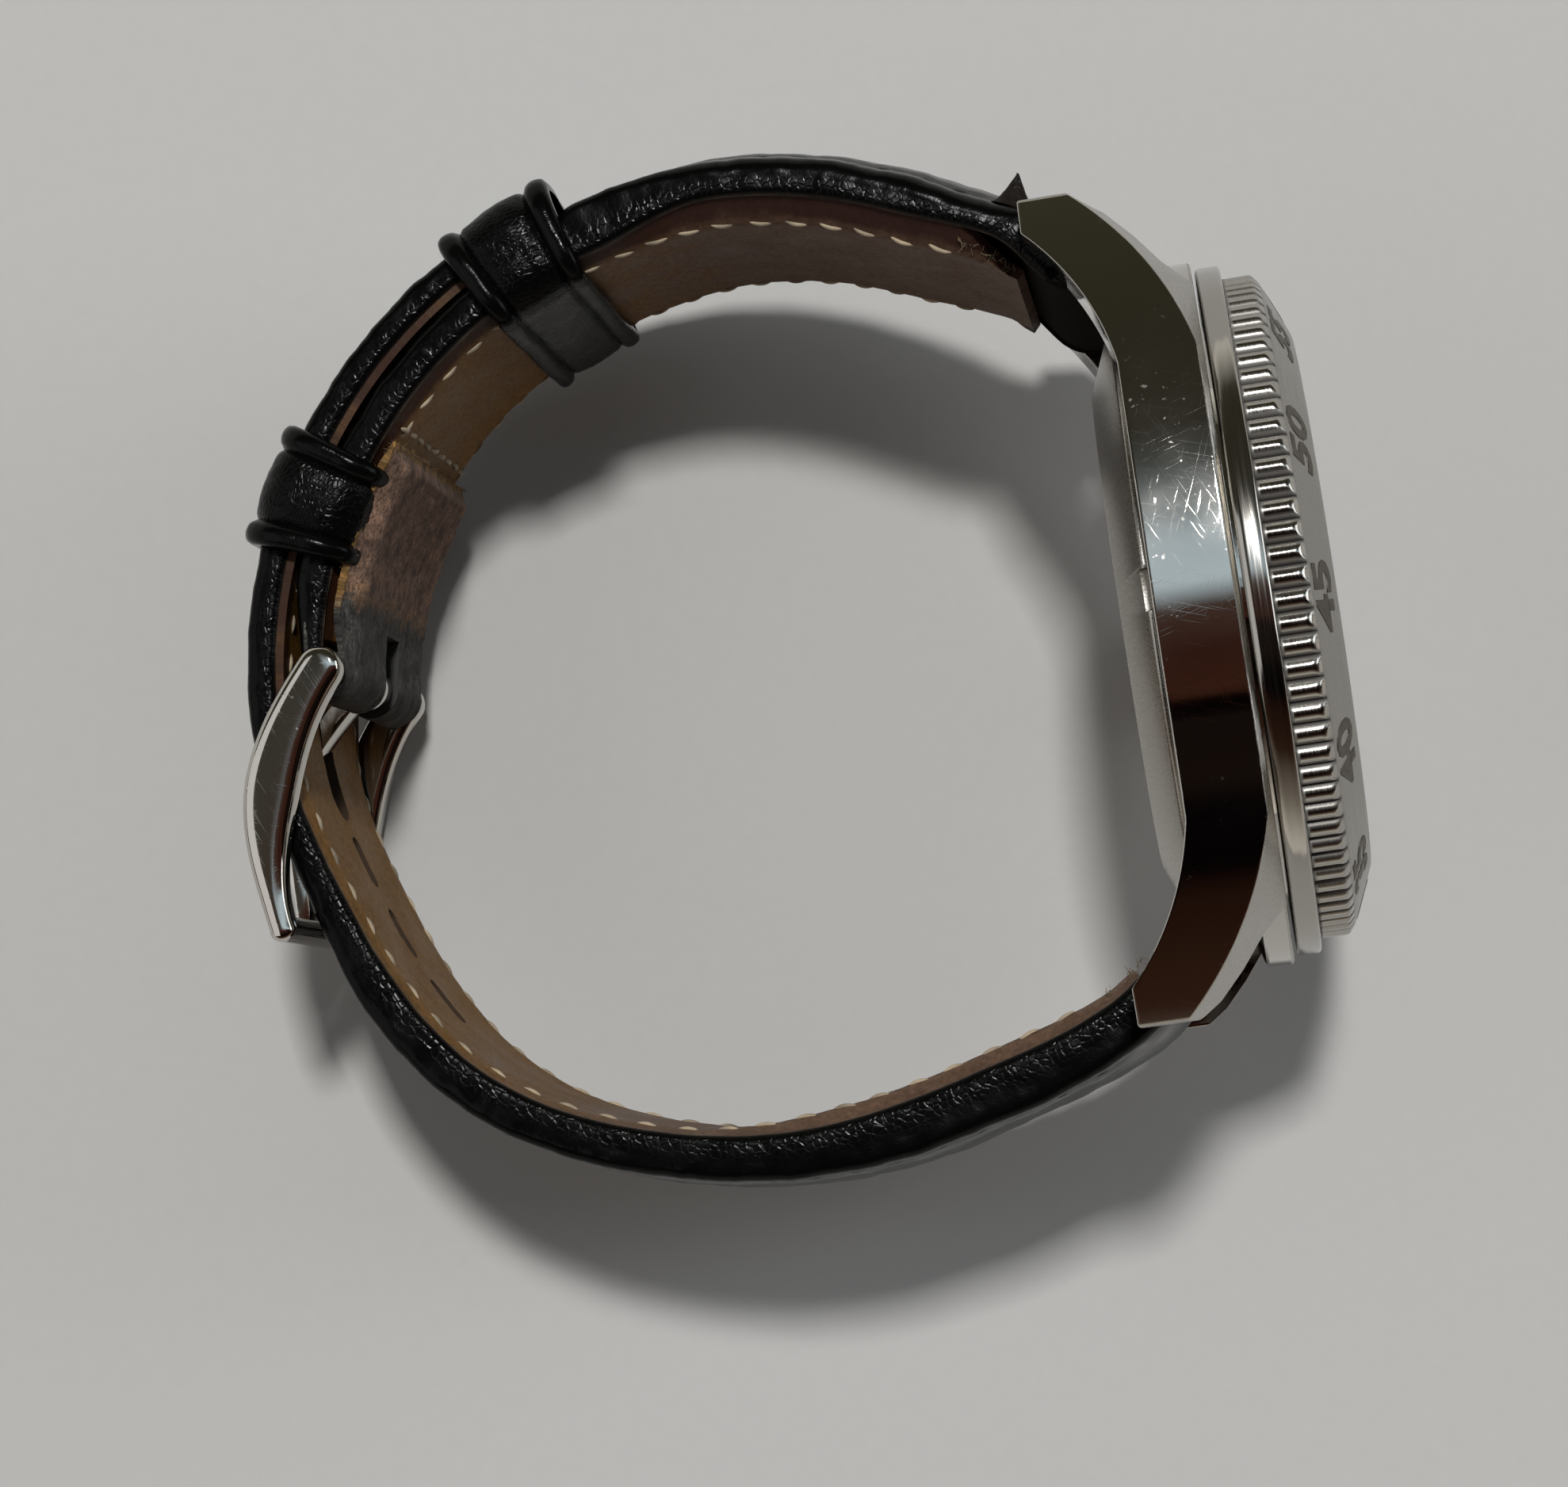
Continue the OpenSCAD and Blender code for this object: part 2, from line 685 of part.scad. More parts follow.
module crown_gasket() {
    color("#2a2a2a") lying() translate([tube_out_x - 0.6, 0, stem_z]) to_three()
        tube(crown_hollow_r, tube_r + run_gap / 2, 0.4);
}

module crown_tube() {
    color(steel) lying() translate([tube_in_x, 0, stem_z]) to_three()
        tube(tube_r, stem_r + run_gap / 2, tube_out_x - tube_in_x);
}

module stem() {
    color(steel) lying() translate([stem_in_x, 0, stem_z]) to_three()
        cylinder(r = stem_r, h = crown_x + crown_hollow_l - stem_in_x);
}

module clutch_wheel() {
    color(steel) lying() translate([clutch_x, 0, stem_z]) to_three() difference() {
        linear_extrude(clutch_l)
            polygon(wheel_points(clutch_n, 2 * clutch_r / (clutch_n + 2), 0));
        translate([0, 0, -1]) cylinder(r = stem_r + fit_gap, h = clutch_l + 2);
    }
}

// Movement
module movement_holder() {
    color("#e6e3da") lying() difference() {
        translate([0, 0, back_rim_z + fit_gap])
            tube(holder_r - fit_gap, plate_r + fit_gap, dial_z - back_rim_z - 2 * fit_gap);
        translate([0, 0, stem_z]) to_three() cylinder(r = stem_r + run_gap, h = 30);
    }
}

module post(p, foot_z, r) {
    at(p, foot_z) cylinder(r = r, h = plate_z - foot_z + 0.1);
}

// A threaded hole for a screw, reaching up into a post
module screw_hole(p, z) {
    at(p, z - 1) cylinder(r = screw_r + fit_gap / 2, h = screw_grip + 1.2);
}

screw_grip = 1.0;
module screw_at(p, z) {
    at(p, z - screw_head_h) difference() {
        union() {
            cylinder(r = screw_head_r, h = screw_head_h);
            cylinder(r = screw_r, h = screw_head_h + screw_grip);
        }
        translate([-2, -screw_slot_w / 2, -1]) cube([4, screw_slot_w, 1 + screw_slot_h]);
    }
}

module main_plate() {
    color(brass) lying() difference() {
        union() {
            translate([0, 0, plate_z]) cylinder(r = plate_r, h = plate_t);
            translate([0, 0, plate_z]) tube(plate_r, plate_r - 1, plate_t + plate_rim_h);
            for (p = bridge_posts) {
                post(p, bridge_z + bridge_t, post_r);
            }
            post(clamp_post, clamp_z + clamp_t, post_r);
            post(board_post, board_z + board_t, post_r);
            at(cell_p, cell_z + cell_h)
                cylinder(r = cell_r * 0.7, h = plate_z - cell_z - cell_h);
            at(minute_p, plate_z) cylinder(r = stud_r, h = plate_t + stud_h);
        }
        translate([0, 0, plate_z - 1]) cylinder(r = cannon_r + run_gap / 2, h = 4);
        for (p = [fifth_p, third_p, rotor_p]) {
            at(p, plate_z - 1) cylinder(r = pivot_r + fit_gap, h = 4);
        }
        for (p = bridge_posts) {
            screw_hole(p, bridge_z + bridge_t);
        }
        screw_hole(clamp_post, clamp_z + clamp_t);
        screw_hole(board_post, board_z + board_t);
    }
}

// A flat bar in the plate's plane from p to q
module web(p, q, w, z, t) {
    d = q - p;
    translate([p[0], p[1], z]) rotate([0, 0, atan2(d[1], d[0])])
        translate([0, -w / 2, 0]) cube([norm(d), w, t]);
}

module train_bridge() {
    color(steel) lying() difference() {
        union() {
            translate([0, 0, bridge_z]) cylinder(r = bridge_hub_r, h = bridge_t);
            for (p = concat(bridge_posts, [rotor_p, fifth_p, third_p])) {
                web([0, 0], p, web_w, bridge_z, bridge_t);
                at(p, bridge_z) cylinder(r = bridge_foot_r, h = bridge_t);
            }
        }
        for (p = [[0, 0], fifth_p, third_p, rotor_p]) {
            at(p, bridge_z - 1) cylinder(r = pivot_r + fit_gap, h = 4);
        }
        for (p = bridge_posts) {
            at(p, bridge_z - 1) cylinder(r = screw_r + fit_gap, h = 4);
        }
    }
}

module bridge_screws() {
    color(polished) lying() {
        for (p = bridge_posts) {
            screw_at(p, bridge_z);
        }
        screw_at(board_post, board_z);
    }
}

// An arbor from the bridge to the plate
module arbor(p) {
    at(p, bridge_z + end_shake) cylinder(r = pivot_r, h = plate_z + 0.3 - bridge_z);
}

module at(p, z) {
    translate([p[0], p[1], z]) children();
}

module rotor() {
    color("#8f9296") lying() {
        arbor(rotor_p);
        at(rotor_p, level_a - 0.05) wheel(rotor_n, m_rotor, rotor_a + 180, pinion_t);
        at(rotor_p, stator_z) cylinder(r = magnet_r, h = stator_t);
    }
}

module fifth_wheel() {
    tooth = 360 / fifth_n;
    color(brass) lying() {
        arbor(fifth_p);
        at(fifth_p, level_a) wheel(fifth_n, m_rotor, rotor_a + tooth / 2, wheel_t);
        at(fifth_p, level_b - 0.05) wheel(fifth_pinion_n, m_fifth, fifth_a + 180, pinion_t);
    }
}

module seconds_wheel() {
    color(brass) lying() {
        translate([0, 0, bridge_z + end_shake])
            cylinder(r = pivot_r, h = seconds_hand_z + hand_t - bridge_z - end_shake);
        translate([0, 0, level_b]) wheel(seconds_n, m_fifth, fifth_a + 180 / seconds_n, wheel_t);
        translate([0, 0, level_c - 0.05])
            wheel(seconds_pinion_n, m_seconds, third_a, pinion_t);
    }
}

module third_wheel() {
    color(brass) lying() {
        arbor(third_p);
        at(third_p, level_c) wheel(third_n, m_seconds, third_a + 180 + 180 / third_n, wheel_t);
        at(third_p, level_d - 0.05) wheel(third_pinion_n, m_third, third_a + 180, pinion_t);
    }
}

module centre_wheel() {
    tube_in = pivot_r + run_gap / 2;
    color(brass) lying() difference() {
        union() {
            translate([0, 0, level_d]) wheel(centre_n, m_third, third_a + 180 / centre_n, wheel_t);
            translate([0, 0, level_d])
                cylinder(r = cannon_r, h = minute_hand_z + hand_t - level_d);
            translate([0, 0, work_z]) wheel(cannon_n, m_work, minute_a, wheel_t);
        }
        translate([0, 0, level_d - 1]) cylinder(r = tube_in, h = 8);
    }
}

module minute_wheel() {
    color(brass) lying() difference() {
        union() {
            at(minute_p, work_z)
                wheel(minute_n, m_work, minute_a + 180 + 180 / minute_n, wheel_t);
            at(minute_p, minute_pinion_z - 0.1)
                wheel(minute_pinion_n, m_work, minute_a + 180, wheel_t + 0.15);
        }
        at(minute_p, work_z - 1) cylinder(r = stud_r + fit_gap, h = 4);
    }
}

module hour_wheel() {
    color(brass) lying() difference() {
        union() {
            translate([0, 0, minute_pinion_z])
                wheel(hour_n, m_work, minute_a + 180 / hour_n, wheel_t);
            translate([0, 0, minute_pinion_z])
                cylinder(r = pipe_r, h = hour_hand_z + hand_t - minute_pinion_z);
        }
        translate([0, 0, minute_pinion_z - 1]) cylinder(r = cannon_r + run_gap / 2, h = 8);
    }
}

coil_y = rotor_p[1];
coil_x0 = -9.2;
coil_x1 = -3.4;
core_w = 1.1;
stator_w = 3.4;
stator_x0 = coil_x1 + 0.6;
stator_x1 = rotor_p[0] + magnet_r + 1.05;
module stator() {
    color("#9a9da1") lying() difference() {
        union() {
            translate([stator_x0, coil_y - stator_w / 2, stator_z])
                cube([stator_x1 - stator_x0, stator_w, stator_t]);
            translate([coil_x0 - 0.5, coil_y - core_w / 2, stator_z])
                cube([coil_x1 - coil_x0 + 1.5, core_w, stator_t]);
        }
        at(rotor_p, stator_z - 1) cylinder(r = magnet_r + run_gap, h = 4);
    }
}

module coil() {
    color("#b5622d") lying() difference() {
        translate([coil_x0, coil_y, stator_z + stator_t / 2]) to_three()
            cylinder(r = coil_r, h = coil_x1 - coil_x0);
        translate([coil_x0 - 1, coil_y - core_w / 2 - fit_gap, stator_z - fit_gap])
            cube([coil_x1 - coil_x0 + 2, core_w + 2 * fit_gap, stator_t + 2 * fit_gap]);
    }
}

board_x0 = -9.4;
board_x1 = -0.6;
board_y0 = -10;
board_y1 = -5;
can_r = 1;
can_l = 5;
can_p = [board_x0 + 3.4, -8.4];
module circuit_board() {
    color("#2f6a46") lying() difference() {
        intersection() {
            translate([board_x0, board_y0, board_z])
                cube([board_x1 - board_x0, board_y1 - board_y0, board_t]);
            translate([0, 0, board_z - 1]) cylinder(r = plate_r - 0.3, h = 4);
        }
        at(board_post, board_z - 1) cylinder(r = screw_r + fit_gap, h = 4);
    }
}

module quartz_can() {
    color(polished) lying() translate([can_p[0], can_p[1], board_z + board_t + can_r + fit_gap])
        to_three() cylinder(r = can_r, h = can_l);
}

module cell() {
    color(polished) lying() at(cell_p, cell_z) union() {
        translate([0, 0, cell_step]) cylinder(r = cell_r, h = cell_h - cell_step - fit_gap);
        cylinder(r = cell_r - cell_step, h = 2 * cell_step);
    }
}

module cell_clamp() {
    inner = cell_p + [-2.6, -0.4];
    color(steel) lying() difference() {
        union() {
            web(inner, clamp_post, web_w, clamp_z, clamp_t);
            at(clamp_post, clamp_z) cylinder(r = bridge_foot_r, h = clamp_t);
        }
        at(clamp_post, clamp_z - 1) cylinder(r = screw_r + fit_gap, h = 4);
    }
}

module clamp_screw() {
    color(polished) lying() screw_at(clamp_post, clamp_z);
}

// Strap
module spring_bar(y) {
    color(steel) lying() translate([0, y, bar_z]) to_three() {
        cylinder(r = bar_r, h = lug_gap - 2 * run_gap, center = true);
        cylinder(r = bar_pivot_r, h = lug_gap + 2 * bar_pivot_l, center = true);
    }
}

module spring_bar_12() {
    spring_bar(bar_y);
}

module spring_bar_6() {
    spring_bar(-bar_y);
}

// Inner radius, thickness and width of the short strap at an angle
function short_in(a) = a < bar12_a + lug_blend
    ? mix(bar12_r - strap_lug_t / 2, wrist_r, smooth((a - bar12_a) / lug_blend))
    : mix(wrist_r, under_r, smooth((a - 90) / step_blend));
function short_t(a) =
    let (t = mix(strap_lug_t, strap_mid_t, smooth((a - bar12_a) / pad_blend)))
    mix(t, under_t, smooth((a - 82) / step_blend));
function short_w(a) = mix(strap_lug_w, strap_end_w, smooth((a - bar12_a) / (heel_a - bar12_a)));

// The same for the long strap, whose angle runs backwards from its lug
function long_in(a) = a > bar6_a - lug_blend
    ? mix(bar6_r - strap_lug_t / 2, wrist_r, smooth((bar6_a - a) / lug_blend))
    : mix(wrist_r, tail_in_r, smooth((205 - a) / lug_blend)) + tip_lift * smooth((tip_a + 6 - a) / 6);
function long_t(a) =
    let (t = mix(strap_lug_t, strap_mid_t, smooth((bar6_a - a) / pad_blend)))
    mix(t, tail_t, smooth((255 - a) / 40));
function long_w(a) =
    let (k = max(0, tip_a + tip_round - a) / tip_round)
    mix(strap_lug_w, strap_end_w, smooth((bar6_a - a) / 120)) * mix(tip_w_share, 1, sqrt(1 - k * k));

// A cross-section of a padded layer: flat inside at r_in, crowned outside
dome_n = 8;
function padded_ring(a, w, r_in, r_edge, r_top) = concat(
    [bent(-w / 2, r_in, a)],
    [for (k = [0 : dome_n]) let (u = 2 * k / dome_n - 1)
        bent(u * w / 2, mix(r_top, r_edge, pow(abs(u), 3)), a)],
    [bent(w / 2, r_in, a)]);
function bent(x, r, a) = [x, on_wrist(r, a)[0], on_wrist(r, a)[1]];

// Rings of the upper leather; away is the angle from the strap's bar, where the lining is left out
function upper_ring(a, away, t_all, w, r_in) =
    let (seat = away < lining_start - 0.5 ? 0 : lining_t + fit_gap)
    padded_ring(a, w, r_in + seat, r_in + max(seat + 0.3, min(strap_edge_t, t_all)), r_in + t_all);

// The rounded end of a strap beyond its bar; way is 1 for the short strap and -1 for the long one
nose_steps = [-0.97, -0.85, -0.6, -0.3];
function nose_rings(bar_a, bar_r, way) = [for (k = nose_steps)
    let (h = strap_lug_t / 2 * sqrt(1 - k * k))
    let (a = bar_a + way * k * strap_lug_t / 2 / bar_r * 180 / PI)
    padded_ring(a, strap_lug_w - 0.4, bar_r - h, bar_r + 0.2 * h, bar_r + h)];

function steps_along(length, pitch) = concat(
    [0, 2, lining_start - 0.6, lining_start - 0.4],
    [for (i = [1 : ceil((length - lining_start) / pitch)]) min(length, lining_start + i * pitch)]);

strap_pitch = 3.2;
short_len = heel_a - bar12_a;
long_len = bar6_a - tip_a;

module strap_12_upper() {
    rings = concat(nose_rings(bar12_a, bar12_r, 1), [for (s = steps_along(short_len, strap_pitch))
        let (a = bar12_a + s, t = short_t(a), k = smooth((s - short_len + heel_blend) / heel_blend))
        upper_ring(a, s, mix(t, heel_r + heel_nose_r - short_in(a), k), short_w(a), short_in(a))]);
    color(leather_black) lying() difference() {
        union() {
            skin(reversed(rings));
            translate([0, heel_bar_at[0], heel_bar_at[1]]) to_three()
                cylinder(r = heel_nose_r, h = strap_end_w - 0.4, center = true);
        }
        translate([0, bar_y, bar_z]) to_three()
            cylinder(r = bar_r + fit_gap, h = 2 * lug_gap, center = true);
        heel_bore();
        wrist_at(heel_r, heel_a + 2)
            cube([tongue_w + 4 * leather_gap, notch_l, 3 * heel_bar_r + 6], center = true);
    }
}

// A thin layer of constant thickness under the upper leather
function lining_ring(a, w, r_in) = let (h = w / 2 - 0.1)
    [bent(-h, r_in, a), bent(-h, r_in + lining_t, a), bent(h, r_in + lining_t, a), bent(h, r_in, a)];

module strap_12_lining() {
    last = short_len - lining_end;
    steps = [for (s = steps_along(last, strap_pitch)) if (s >= lining_start) s];
    color(lining_brown) lying()
        skin([for (s = reversed(concat([lining_start], steps)))
            let (a = bar12_a + s) lining_ring(a, short_w(a), short_in(a))]);
}

module turn_back_flap() {
    w = strap_end_w - 0.6;
    color(suede) lying() difference() {
        wrist_sweep(flap_start_a, heel_a - flap_end)
            translate([under_r - fit_gap - flap_t, -w / 2]) square([flap_t, w]);
        keeper_tabs(fit_gap);
    }
}

module strap_6_upper() {
    rings = concat(nose_rings(bar6_a, bar6_r, -1), [for (s = steps_along(long_len, strap_pitch))
        let (a = bar6_a - s) upper_ring(a, s, long_t(a), long_w(a), long_in(a))]);
    color(leather_black) lying() difference() {
        skin(rings);
        translate([0, -bar_y, bar_z]) to_three()
            cylinder(r = bar_r + fit_gap, h = 2 * lug_gap, center = true);
        strap_holes();
    }
}

module strap_6_lining() {
    steps = [for (s = steps_along(long_len - 1, strap_pitch)) if (s >= lining_start) s];
    color(lining_brown) lying() difference() {
        skin([for (s = concat([lining_start], steps))
            let (a = bar6_a - s) lining_ring(a, long_w(a), long_in(a))]);
        strap_holes();
    }
}

// The row of holes in the long strap; the tongue's own hole is drawn out by wear
module strap_holes() {
    for (i = [-hole_n : hole_n]) {
        a = hole_a + i * hole_pitch * deg_per_mm + (i == 0 ? tongue_hole_shift : sign(i) * 2);
        l = i == 0 ? tongue_hole_l : hole_l;
        w = i == 0 ? tongue_hole_w : hole_w;
        wrist_at(wrist_r + 1.5, a) slot(w, l);
    }
}

module slot(w, l) {
    translate([0, 0, -4]) {
        translate([-w / 2, -(l - w) / 2, 0]) cube([w, l - w, 8]);
        for (s = [-1, 1]) {
            translate([0, s * (l - w) / 2, 0]) cylinder(r = w / 2, h = 8);
        }
    }
}

// Keepers: a band round both straps with a rolled ridge along each edge
module keeper_block(r_in, t, at_a, half_a) {
    wrist_sweep(at_a - half_a, at_a + half_a) translate([r_in - t, -keeper_half_w - t])
        square([keeper_out_r - r_in + 2 * t, 2 * (keeper_half_w + t)]);
}

module keeper_shape(at_a, r_in, opening_in_r) {
    ridge_a = keeper_half_a * 0.14;
    difference() {
        union() {
            keeper_block(r_in, keeper_t * 0.8, at_a, keeper_half_a * 0.97);
            keeper_block(r_in, keeper_t, at_a, keeper_half_a * 0.6);
            for (s = [-1, 1]) {
                keeper_block(r_in, keeper_t * 1.15, at_a + s * (keeper_half_a - ridge_a), ridge_a);
            }
        }
        wrist_sweep(at_a - 2 * keeper_half_a, at_a + 2 * keeper_half_a)
            translate([opening_in_r, -keeper_half_w])
                square([keeper_out_r - opening_in_r, 2 * keeper_half_w]);
    }
}

module free_keeper() {
    color(leather_black) lying() keeper_shape(free_keeper_a, keeper_in_r, keeper_in_r);
}

tab_l = 3;
tab_t = 0.6;
tab_root = 0.3;
tab_r = under_r - 2 * fit_gap - tab_t;
// The two ends of the fixed keeper, tucked between the strap and the flap; with a gap, the
// pockets that they need in the flap
module keeper_tabs(gap) {
    half_a = 0.9 * keeper_half_a + 2 * gap;
    depth = gap > 0 ? 2 * tab_t : tab_t;
    for (s = [-1, 1]) {
        wrist_sweep(fixed_keeper_a - half_a, fixed_keeper_a + half_a)
            translate([tab_r - gap, s * (keeper_half_w + (tab_root - tab_l) / 2)])
                translate([0, -(tab_l + tab_root) / 2 - gap])
                    square([depth + gap, tab_l + tab_root + 2 * gap]);
    }
}

module fixed_keeper() {
    color(leather_black) lying() {
        keeper_shape(fixed_keeper_a, tab_r + 0.9 * keeper_t, tab_r - keeper_t);
        keeper_tabs(0);
    }
}

// Buckle
// The hole for the heel bar through everything that turns on it
module heel_bore() {
    translate([0, heel_bar_at[0], heel_bar_at[1]]) to_three()
        cylinder(r = heel_bar_r + fit_gap, h = 3 * buckle_half_w, center = true);
}

module heel_bar() {
    color(steel) lying() translate([0, heel_bar_at[0], heel_bar_at[1]]) to_three()
        cylinder(r = heel_bar_r, h = 2 * buckle_half_w - 0.6, center = true);
}

module buckle_frame() {
    color(polished) lying() difference() {
        union() {
            for (s = [-1, 1]) {
                arm_x = s * (buckle_in_w + buckle_arm_w / 2);
                translate([arm_x, 0, 0]) across(buckle_arm_w) polygon(arm_outline);
                translate([arm_x, heel_bar_at[0], heel_bar_at[1]]) to_three()
                    cylinder(r = arm_heel, h = buckle_arm_w, center = true);
            }
            translate([0, front_at[0], front_at[1]]) to_three()
                cylinder(r = front_bar_r, h = 2 * buckle_half_w, center = true);
        }
        heel_bore();
    }
}

// The tongue: a loop round the heel bar and a blade that rises through the strap
tongue_rise = 2.6;
tongue_over = front_bar_r + tongue_t / 2 + run_gap;
tongue_reach = 1.1;
function tongue_mid(s) =
    let (d = front_at - heel_bar_at, out = [-d[1], d[0]] / norm(d))
    let (hump = tongue_rise * 4 * s * (1 - s) * (s < 0.5 ? 1 : smooth(2 - 2 * s)))
    heel_bar_at + d * s * tongue_reach + out * (tongue_over * smooth(s / 0.8) + hump);
tongue_n = 16;
function tongue_side(sgn) = [for (i = [1 : tongue_n])
    let (s = i / tongue_n, d = tongue_mid(s + 0.01) - tongue_mid(s - 0.01))
    tongue_mid(s) + sgn * tongue_t / 2 * mix(1, 0.7, s) * [-d[1], d[0]] / norm(d)];
tongue_outline = concat(tongue_side(1), reversed(tongue_side(-1)));

module buckle_tongue() {
    color(polished) lying() difference() {
        union() {
            across(tongue_w) polygon(tongue_outline);
            translate([0, heel_bar_at[0], heel_bar_at[1]]) to_three()
                cylinder(r = heel_bar_r + 0.7, h = tongue_w, center = true);
        }
        heel_bore();
    }
}

case_middle();
caseback();
caseback_gasket();
bezel_ring();
bezel_snap_ring();
bezel_click_spring();
crystal();
crystal_gasket();
chapter_ring();
dial();
hour_markers();
hour_hand();
minute_hand();
seconds_hand();
crown();
crown_gasket();
crown_tube();
stem();
clutch_wheel();
movement_holder();
main_plate();
train_bridge();
bridge_screws();
rotor();
fifth_wheel();
seconds_wheel();
third_wheel();
centre_wheel();
minute_wheel();
hour_wheel();
stator();
coil();
circuit_board();
quartz_can();
cell();
cell_clamp();
clamp_screw();
spring_bar_12();
spring_bar_6();
strap_12_upper();
strap_12_lining();
turn_back_flap();
strap_6_upper();
strap_6_lining();
fixed_keeper();
free_keeper();
heel_bar();
buckle_frame();
buckle_tongue();
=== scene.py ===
"""Looks of a wristwatch on a worn leather strap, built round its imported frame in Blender 4.5."""

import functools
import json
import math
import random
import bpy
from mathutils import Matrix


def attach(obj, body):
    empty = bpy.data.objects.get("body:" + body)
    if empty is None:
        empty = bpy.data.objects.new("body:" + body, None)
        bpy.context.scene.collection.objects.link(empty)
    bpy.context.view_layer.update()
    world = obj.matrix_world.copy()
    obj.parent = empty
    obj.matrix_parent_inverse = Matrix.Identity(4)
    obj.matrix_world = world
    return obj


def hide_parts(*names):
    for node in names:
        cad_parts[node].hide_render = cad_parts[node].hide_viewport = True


bl_info = {
    "name": "Wristwatch looks",
    "version": (1, 0, 0),
    "blender": (4, 5, 0),
    "location": "3D View > Sidebar > Watch",
    "description": "Models and dresses a wristwatch on a worn leather strap",
    "category": "Object",
}

import bpy
from mathutils import Matrix, Vector, noise

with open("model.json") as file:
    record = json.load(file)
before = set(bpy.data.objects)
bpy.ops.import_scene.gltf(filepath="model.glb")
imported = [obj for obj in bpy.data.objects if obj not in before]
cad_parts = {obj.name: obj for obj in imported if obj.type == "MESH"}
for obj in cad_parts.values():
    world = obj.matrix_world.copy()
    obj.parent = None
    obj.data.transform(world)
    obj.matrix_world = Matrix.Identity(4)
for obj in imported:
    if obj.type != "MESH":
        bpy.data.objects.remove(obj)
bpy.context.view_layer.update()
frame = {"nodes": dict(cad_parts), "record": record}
NODES = frame["nodes"]
MM = 0.001


def bench_matrix():
    """Where the watch was built: x to 3 o'clock, y to 12 o'clock, z out of the dial."""
    mount = next(m for m in frame["record"]["mounts"] if m["name"] == "case_back")
    dial = -Vector(mount["axis"]).normalized()
    three = Vector((dial.z, 0, -dial.x))
    turn = Matrix((three, (0, 1, 0), dial)).transposed().to_4x4()
    return Matrix.Translation(Vector(mount["pos_m"])) @ turn


BENCH = bench_matrix()

# The wrist loop, in millimetres and degrees: 0 at the dial, 90 at 12, 180 at the buckle
WRIST_Y, WRIST_Z, WRIST_R = 0.8, -21.7, 28.0
BAR_12, BAR_12_R = 43.66, 30.13
BAR_6, BAR_6_R = 314.22, 31.26
HEEL_A, HEEL_R, UNDER_R = 173.5, 25.95, 25.75
TIP_A, FLAP_A = 112.5, 141.0
HEEL_AT = Vector((3.7376, -47.4832))
FRONT_AT = Vector((-11.2957, -51.6497))
DEG = 180 / math.pi / WRIST_R
# The straps' widths, thicknesses, and the depth of the spring bars in them
LUG_W, BUCKLE_W = 21.6, 20.0
LUG_T, SIDE_T, FOLD_T, TAIL_T = 4.0, 3.4, 2.7, 2.4
BAR_SEAT = 2.0


def smooth(t):
    t = min(1.0, max(0.0, t))
    return t * t * (3 - 2 * t)


def mix(a, b, t):
    return a + (b - a) * t


def hill(x, middle, width):
    """A soft bump of height 1."""
    return math.exp(-(((x - middle) / width) ** 2))


def ripple(x, y, seed):
    """Smooth noise from -1 to 1."""
    return noise.noise(Vector((x, y, seed)))


def on_wrist(x, r, a):
    """A point x across the strap, at radius r and angle a of the wrist loop."""
    t = math.radians(a)
    return Vector((x, WRIST_Y + r * math.sin(t), WRIST_Z + r * math.cos(t))) * MM


def wrist_ways(a):
    """Two directions at angle a of the wrist loop: outwards, and along the strap."""
    t = math.radians(a)
    return Vector((0, math.sin(t), math.cos(t))), Vector((0, math.cos(t), -math.sin(t)))


# Inner radius, thickness and width of each strap at angle a


def short_in(a):
    if a < BAR_12 + 25:
        return mix(BAR_12_R - BAR_SEAT, WRIST_R, smooth((a - BAR_12) / 25))
    return mix(WRIST_R, UNDER_R, smooth((a - 90) / 22))


def short_thick(a):
    return mix(mix(LUG_T, SIDE_T, smooth((a - BAR_12) / 30)), FOLD_T, smooth((a - 82) / 22))


def short_wide(a):
    return mix(LUG_W, BUCKLE_W, smooth((a - BAR_12) / (HEEL_A - BAR_12)))


def long_in(a):
    if a > BAR_6 - 25:
        return mix(BAR_6_R - BAR_SEAT, WRIST_R, smooth((BAR_6 - a) / 25))
    return mix(WRIST_R, 28.6, smooth((205 - a) / 25)) + 0.2 * smooth((TIP_A + 6 - a) / 6)


def long_thick(a):
    return mix(mix(LUG_T, SIDE_T, smooth((BAR_6 - a) / 30)), TAIL_T, smooth((255 - a) / 40))


def long_wide(a):
    tip = min(1, max(0, TIP_A + 8 - a) / 8)
    wide = mix(LUG_W, BUCKLE_W, smooth((BAR_6 - a) / 120))
    return wide * mix(0.62, 1, math.sqrt(1 - tip * tip))


# Colours


def hex_linear(code):
    """An sRGB hex colour as linear red, green and blue."""
    parts = [int(code[i : i + 2], 16) / 255 for i in (1, 3, 5)]
    return [c / 12.92 if c <= 0.04045 else ((c + 0.055) / 1.055) ** 2.4 for c in parts]


def colour(label, note, code):
    return bpy.props.FloatVectorProperty(
        name=label, description=note, subtype="COLOR", min=0, max=1, default=hex_linear(code)
    )


def length(label, note, mm):
    return bpy.props.FloatProperty(
        name=label, description=note, unit="LENGTH", min=0, precision=5, default=mm * MM
    )


